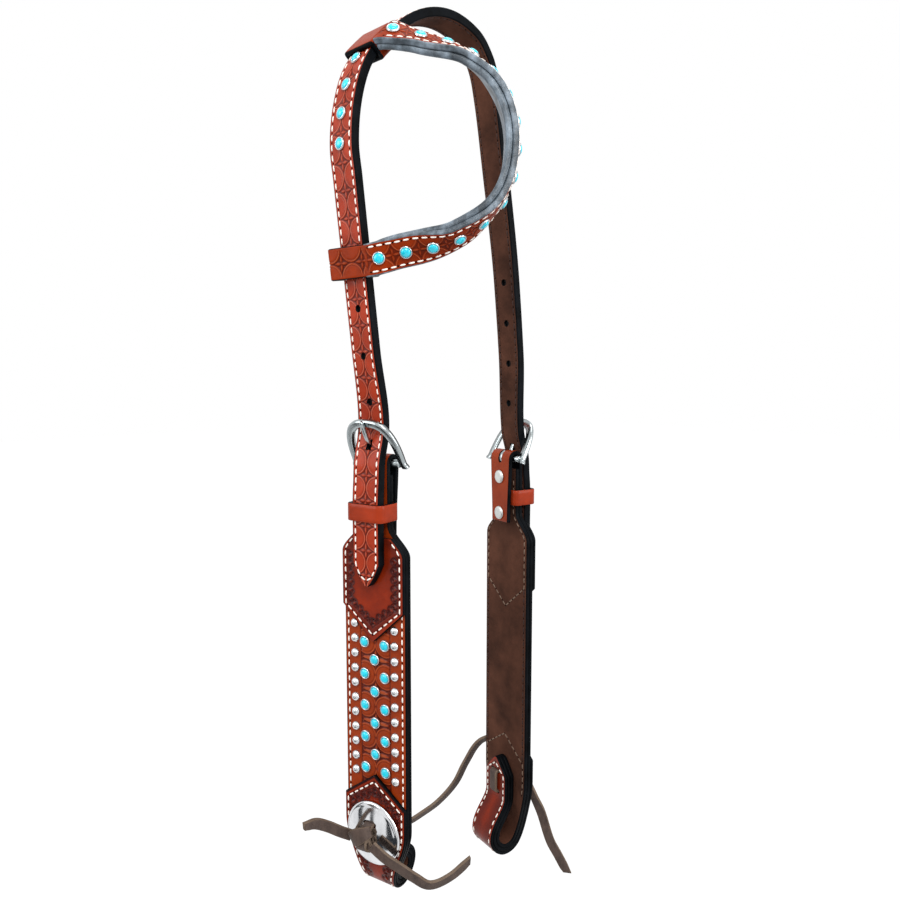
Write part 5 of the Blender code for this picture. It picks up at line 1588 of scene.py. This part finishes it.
def dark_cards():
    """Dark boards that only the metal mirrors, so that it shows streaks as in a room."""
    made = bpy.data.materials.new("dark_board")
    made.use_nodes = True
    shader = made.node_tree.nodes["Principled BSDF"]
    shader.inputs["Base Color"].default_value = tint("#20242A")
    shader.inputs["Roughness"].default_value = 0.9
    for i, (place, wide, tall) in enumerate((
        ((-0.75, -1.10, -0.55), 0.16, 1.2),
        ((-0.35, -1.30, -0.75), 0.12, 1.4),
        ((0.25, -1.30, -0.80), 0.24, 0.8),
        ((0.95, -0.60, -0.85), 0.30, 0.5),
        ((-0.10, -0.95, -1.10), 1.4, 0.35),
        ((0.10, 0.95, -1.10), 1.4, 0.35),
    )):
        mesh = bpy.data.meshes.new(f"board_{i}")
        mesh.from_pydata([(-wide / 2, -tall / 2, 0), (wide / 2, -tall / 2, 0), (wide / 2, tall / 2, 0),
                          (-wide / 2, tall / 2, 0)], [], [(0, 1, 2, 3)])
        mesh.materials.append(made)
        board = bpy.data.objects.new(f"board_{i}", mesh)
        aim = Vector((0, 0, -0.4)) - Vector(place)
        board.location = place
        board.rotation_euler = aim.to_track_quat("Z", "Y").to_euler()
        board.visible_camera = board.visible_diffuse = board.visible_shadow = False
        board.visible_transmission = board.visible_volume_scatter = False
        bpy.context.scene.collection.objects.link(board)


def plain_view(tree):
    """1 for the rays of the camera, of mirrors and of clear things, and 0 for the light on the object."""
    seen = add_node(tree, "LightPath")
    share = maths(tree, "MAXIMUM", seen.outputs["Is Camera Ray"], seen.outputs["Is Glossy Ray"])
    return maths(tree, "MAXIMUM", share, seen.outputs["Is Transmission Ray"])


def surroundings():
    """A pale floor under the hanging headstall, white to the camera, and soft studio light."""
    mesh = bpy.data.meshes.new("floor")
    size, level = 12.0, -1.25
    corners = [(-size, -size, level), (size, -size, level), (size, size, level), (-size, size, level)]
    mesh.from_pydata(corners, [], [(0, 1, 2, 3)])
    floor = bpy.data.objects.new("floor", mesh)
    bpy.context.scene.collection.objects.link(floor)
    made = bpy.data.materials.new("pale_floor")
    made.use_nodes = True
    tree = made.node_tree
    shader = tree.nodes["Principled BSDF"]
    shader.inputs["Base Color"].default_value = tint("#F2F2F2")
    shader.inputs["Roughness"].default_value = 0.9
    glow = add_node(tree, "Emission", {}, Strength=0.96)
    glow.inputs["Color"].default_value = (1, 1, 1, 1)
    share = plain_view(tree)
    shadow = add_node(tree, "BsdfDiffuse")
    shadow.inputs["Color"].default_value = (0.14, 0.14, 0.14, 1)
    white = tree.nodes.new("ShaderNodeAddShader")
    tree.links.new(glow.outputs[0], white.inputs[0])
    tree.links.new(shadow.outputs[0], white.inputs[1])
    both = tree.nodes.new("ShaderNodeMixShader")
    tree.links.new(share, both.inputs[0])
    tree.links.new(shader.outputs[0], both.inputs[1])
    tree.links.new(white.outputs[0], both.inputs[2])
    tree.links.new(both.outputs[0], tree.nodes["Material Output"].inputs["Surface"])
    mesh.materials.append(made)

    dark_cards()

    world = bpy.data.worlds.new("studio")
    bpy.context.scene.world = world
    world.use_nodes = True
    tree = world.node_tree
    light = tree.nodes["Background"]
    light.inputs["Color"].default_value = (0.95, 0.97, 1.0, 1)
    light.inputs["Strength"].default_value = 0.55
    white = add_node(tree, "Background", {}, Strength=1.0)
    white.inputs["Color"].default_value = (1, 1, 1, 1)
    share = plain_view(tree)
    both = tree.nodes.new("ShaderNodeMixShader")
    tree.links.new(share, both.inputs[0])
    tree.links.new(light.outputs[0], both.inputs[1])
    tree.links.new(white.outputs[0], both.inputs[2])
    tree.links.new(both.outputs[0], tree.nodes["World Output"].inputs["Surface"])

    for name, place, size, power, colour in (
        ("key", (0.75, -0.55, 0.45), 0.5, 9.0, (1.0, 0.98, 0.95)),
        ("left_fill", (-0.35, -0.95, 0.1), 0.7, 6.0, (0.95, 0.98, 1.0)),
        ("right_fill", (0.95, 0.35, 0.0), 0.6, 6.0, (1.0, 1.0, 1.0)),
        ("top", (0.1, 0.1, 0.8), 0.6, 4.0, (1.0, 1.0, 1.0)),
    ):
        lamp = bpy.data.lights.new(name, "AREA")
        lamp.energy, lamp.size, lamp.color = power, size, colour
        item = bpy.data.objects.new(name, lamp)
        item.location = place
        aim = Vector((0, 0, -0.25)) - Vector(place)
        item.rotation_euler = aim.to_track_quat("-Z", "Y").to_euler()
        bpy.context.scene.collection.objects.link(item)


camera()
for name, lay in LACE_LAY.items():
    lace_end(name)
crown = crown_strap()
ear_parts(crown)
for side in ("near", "far"):
    cheek(side)
    buckle(side)
    tongue(side)
    keeper(side)
    screws(side)
    concho(side)
    knot(side)
    bight(side)
surroundings()
bpy.context.scene.view_settings.view_transform = "Standard"
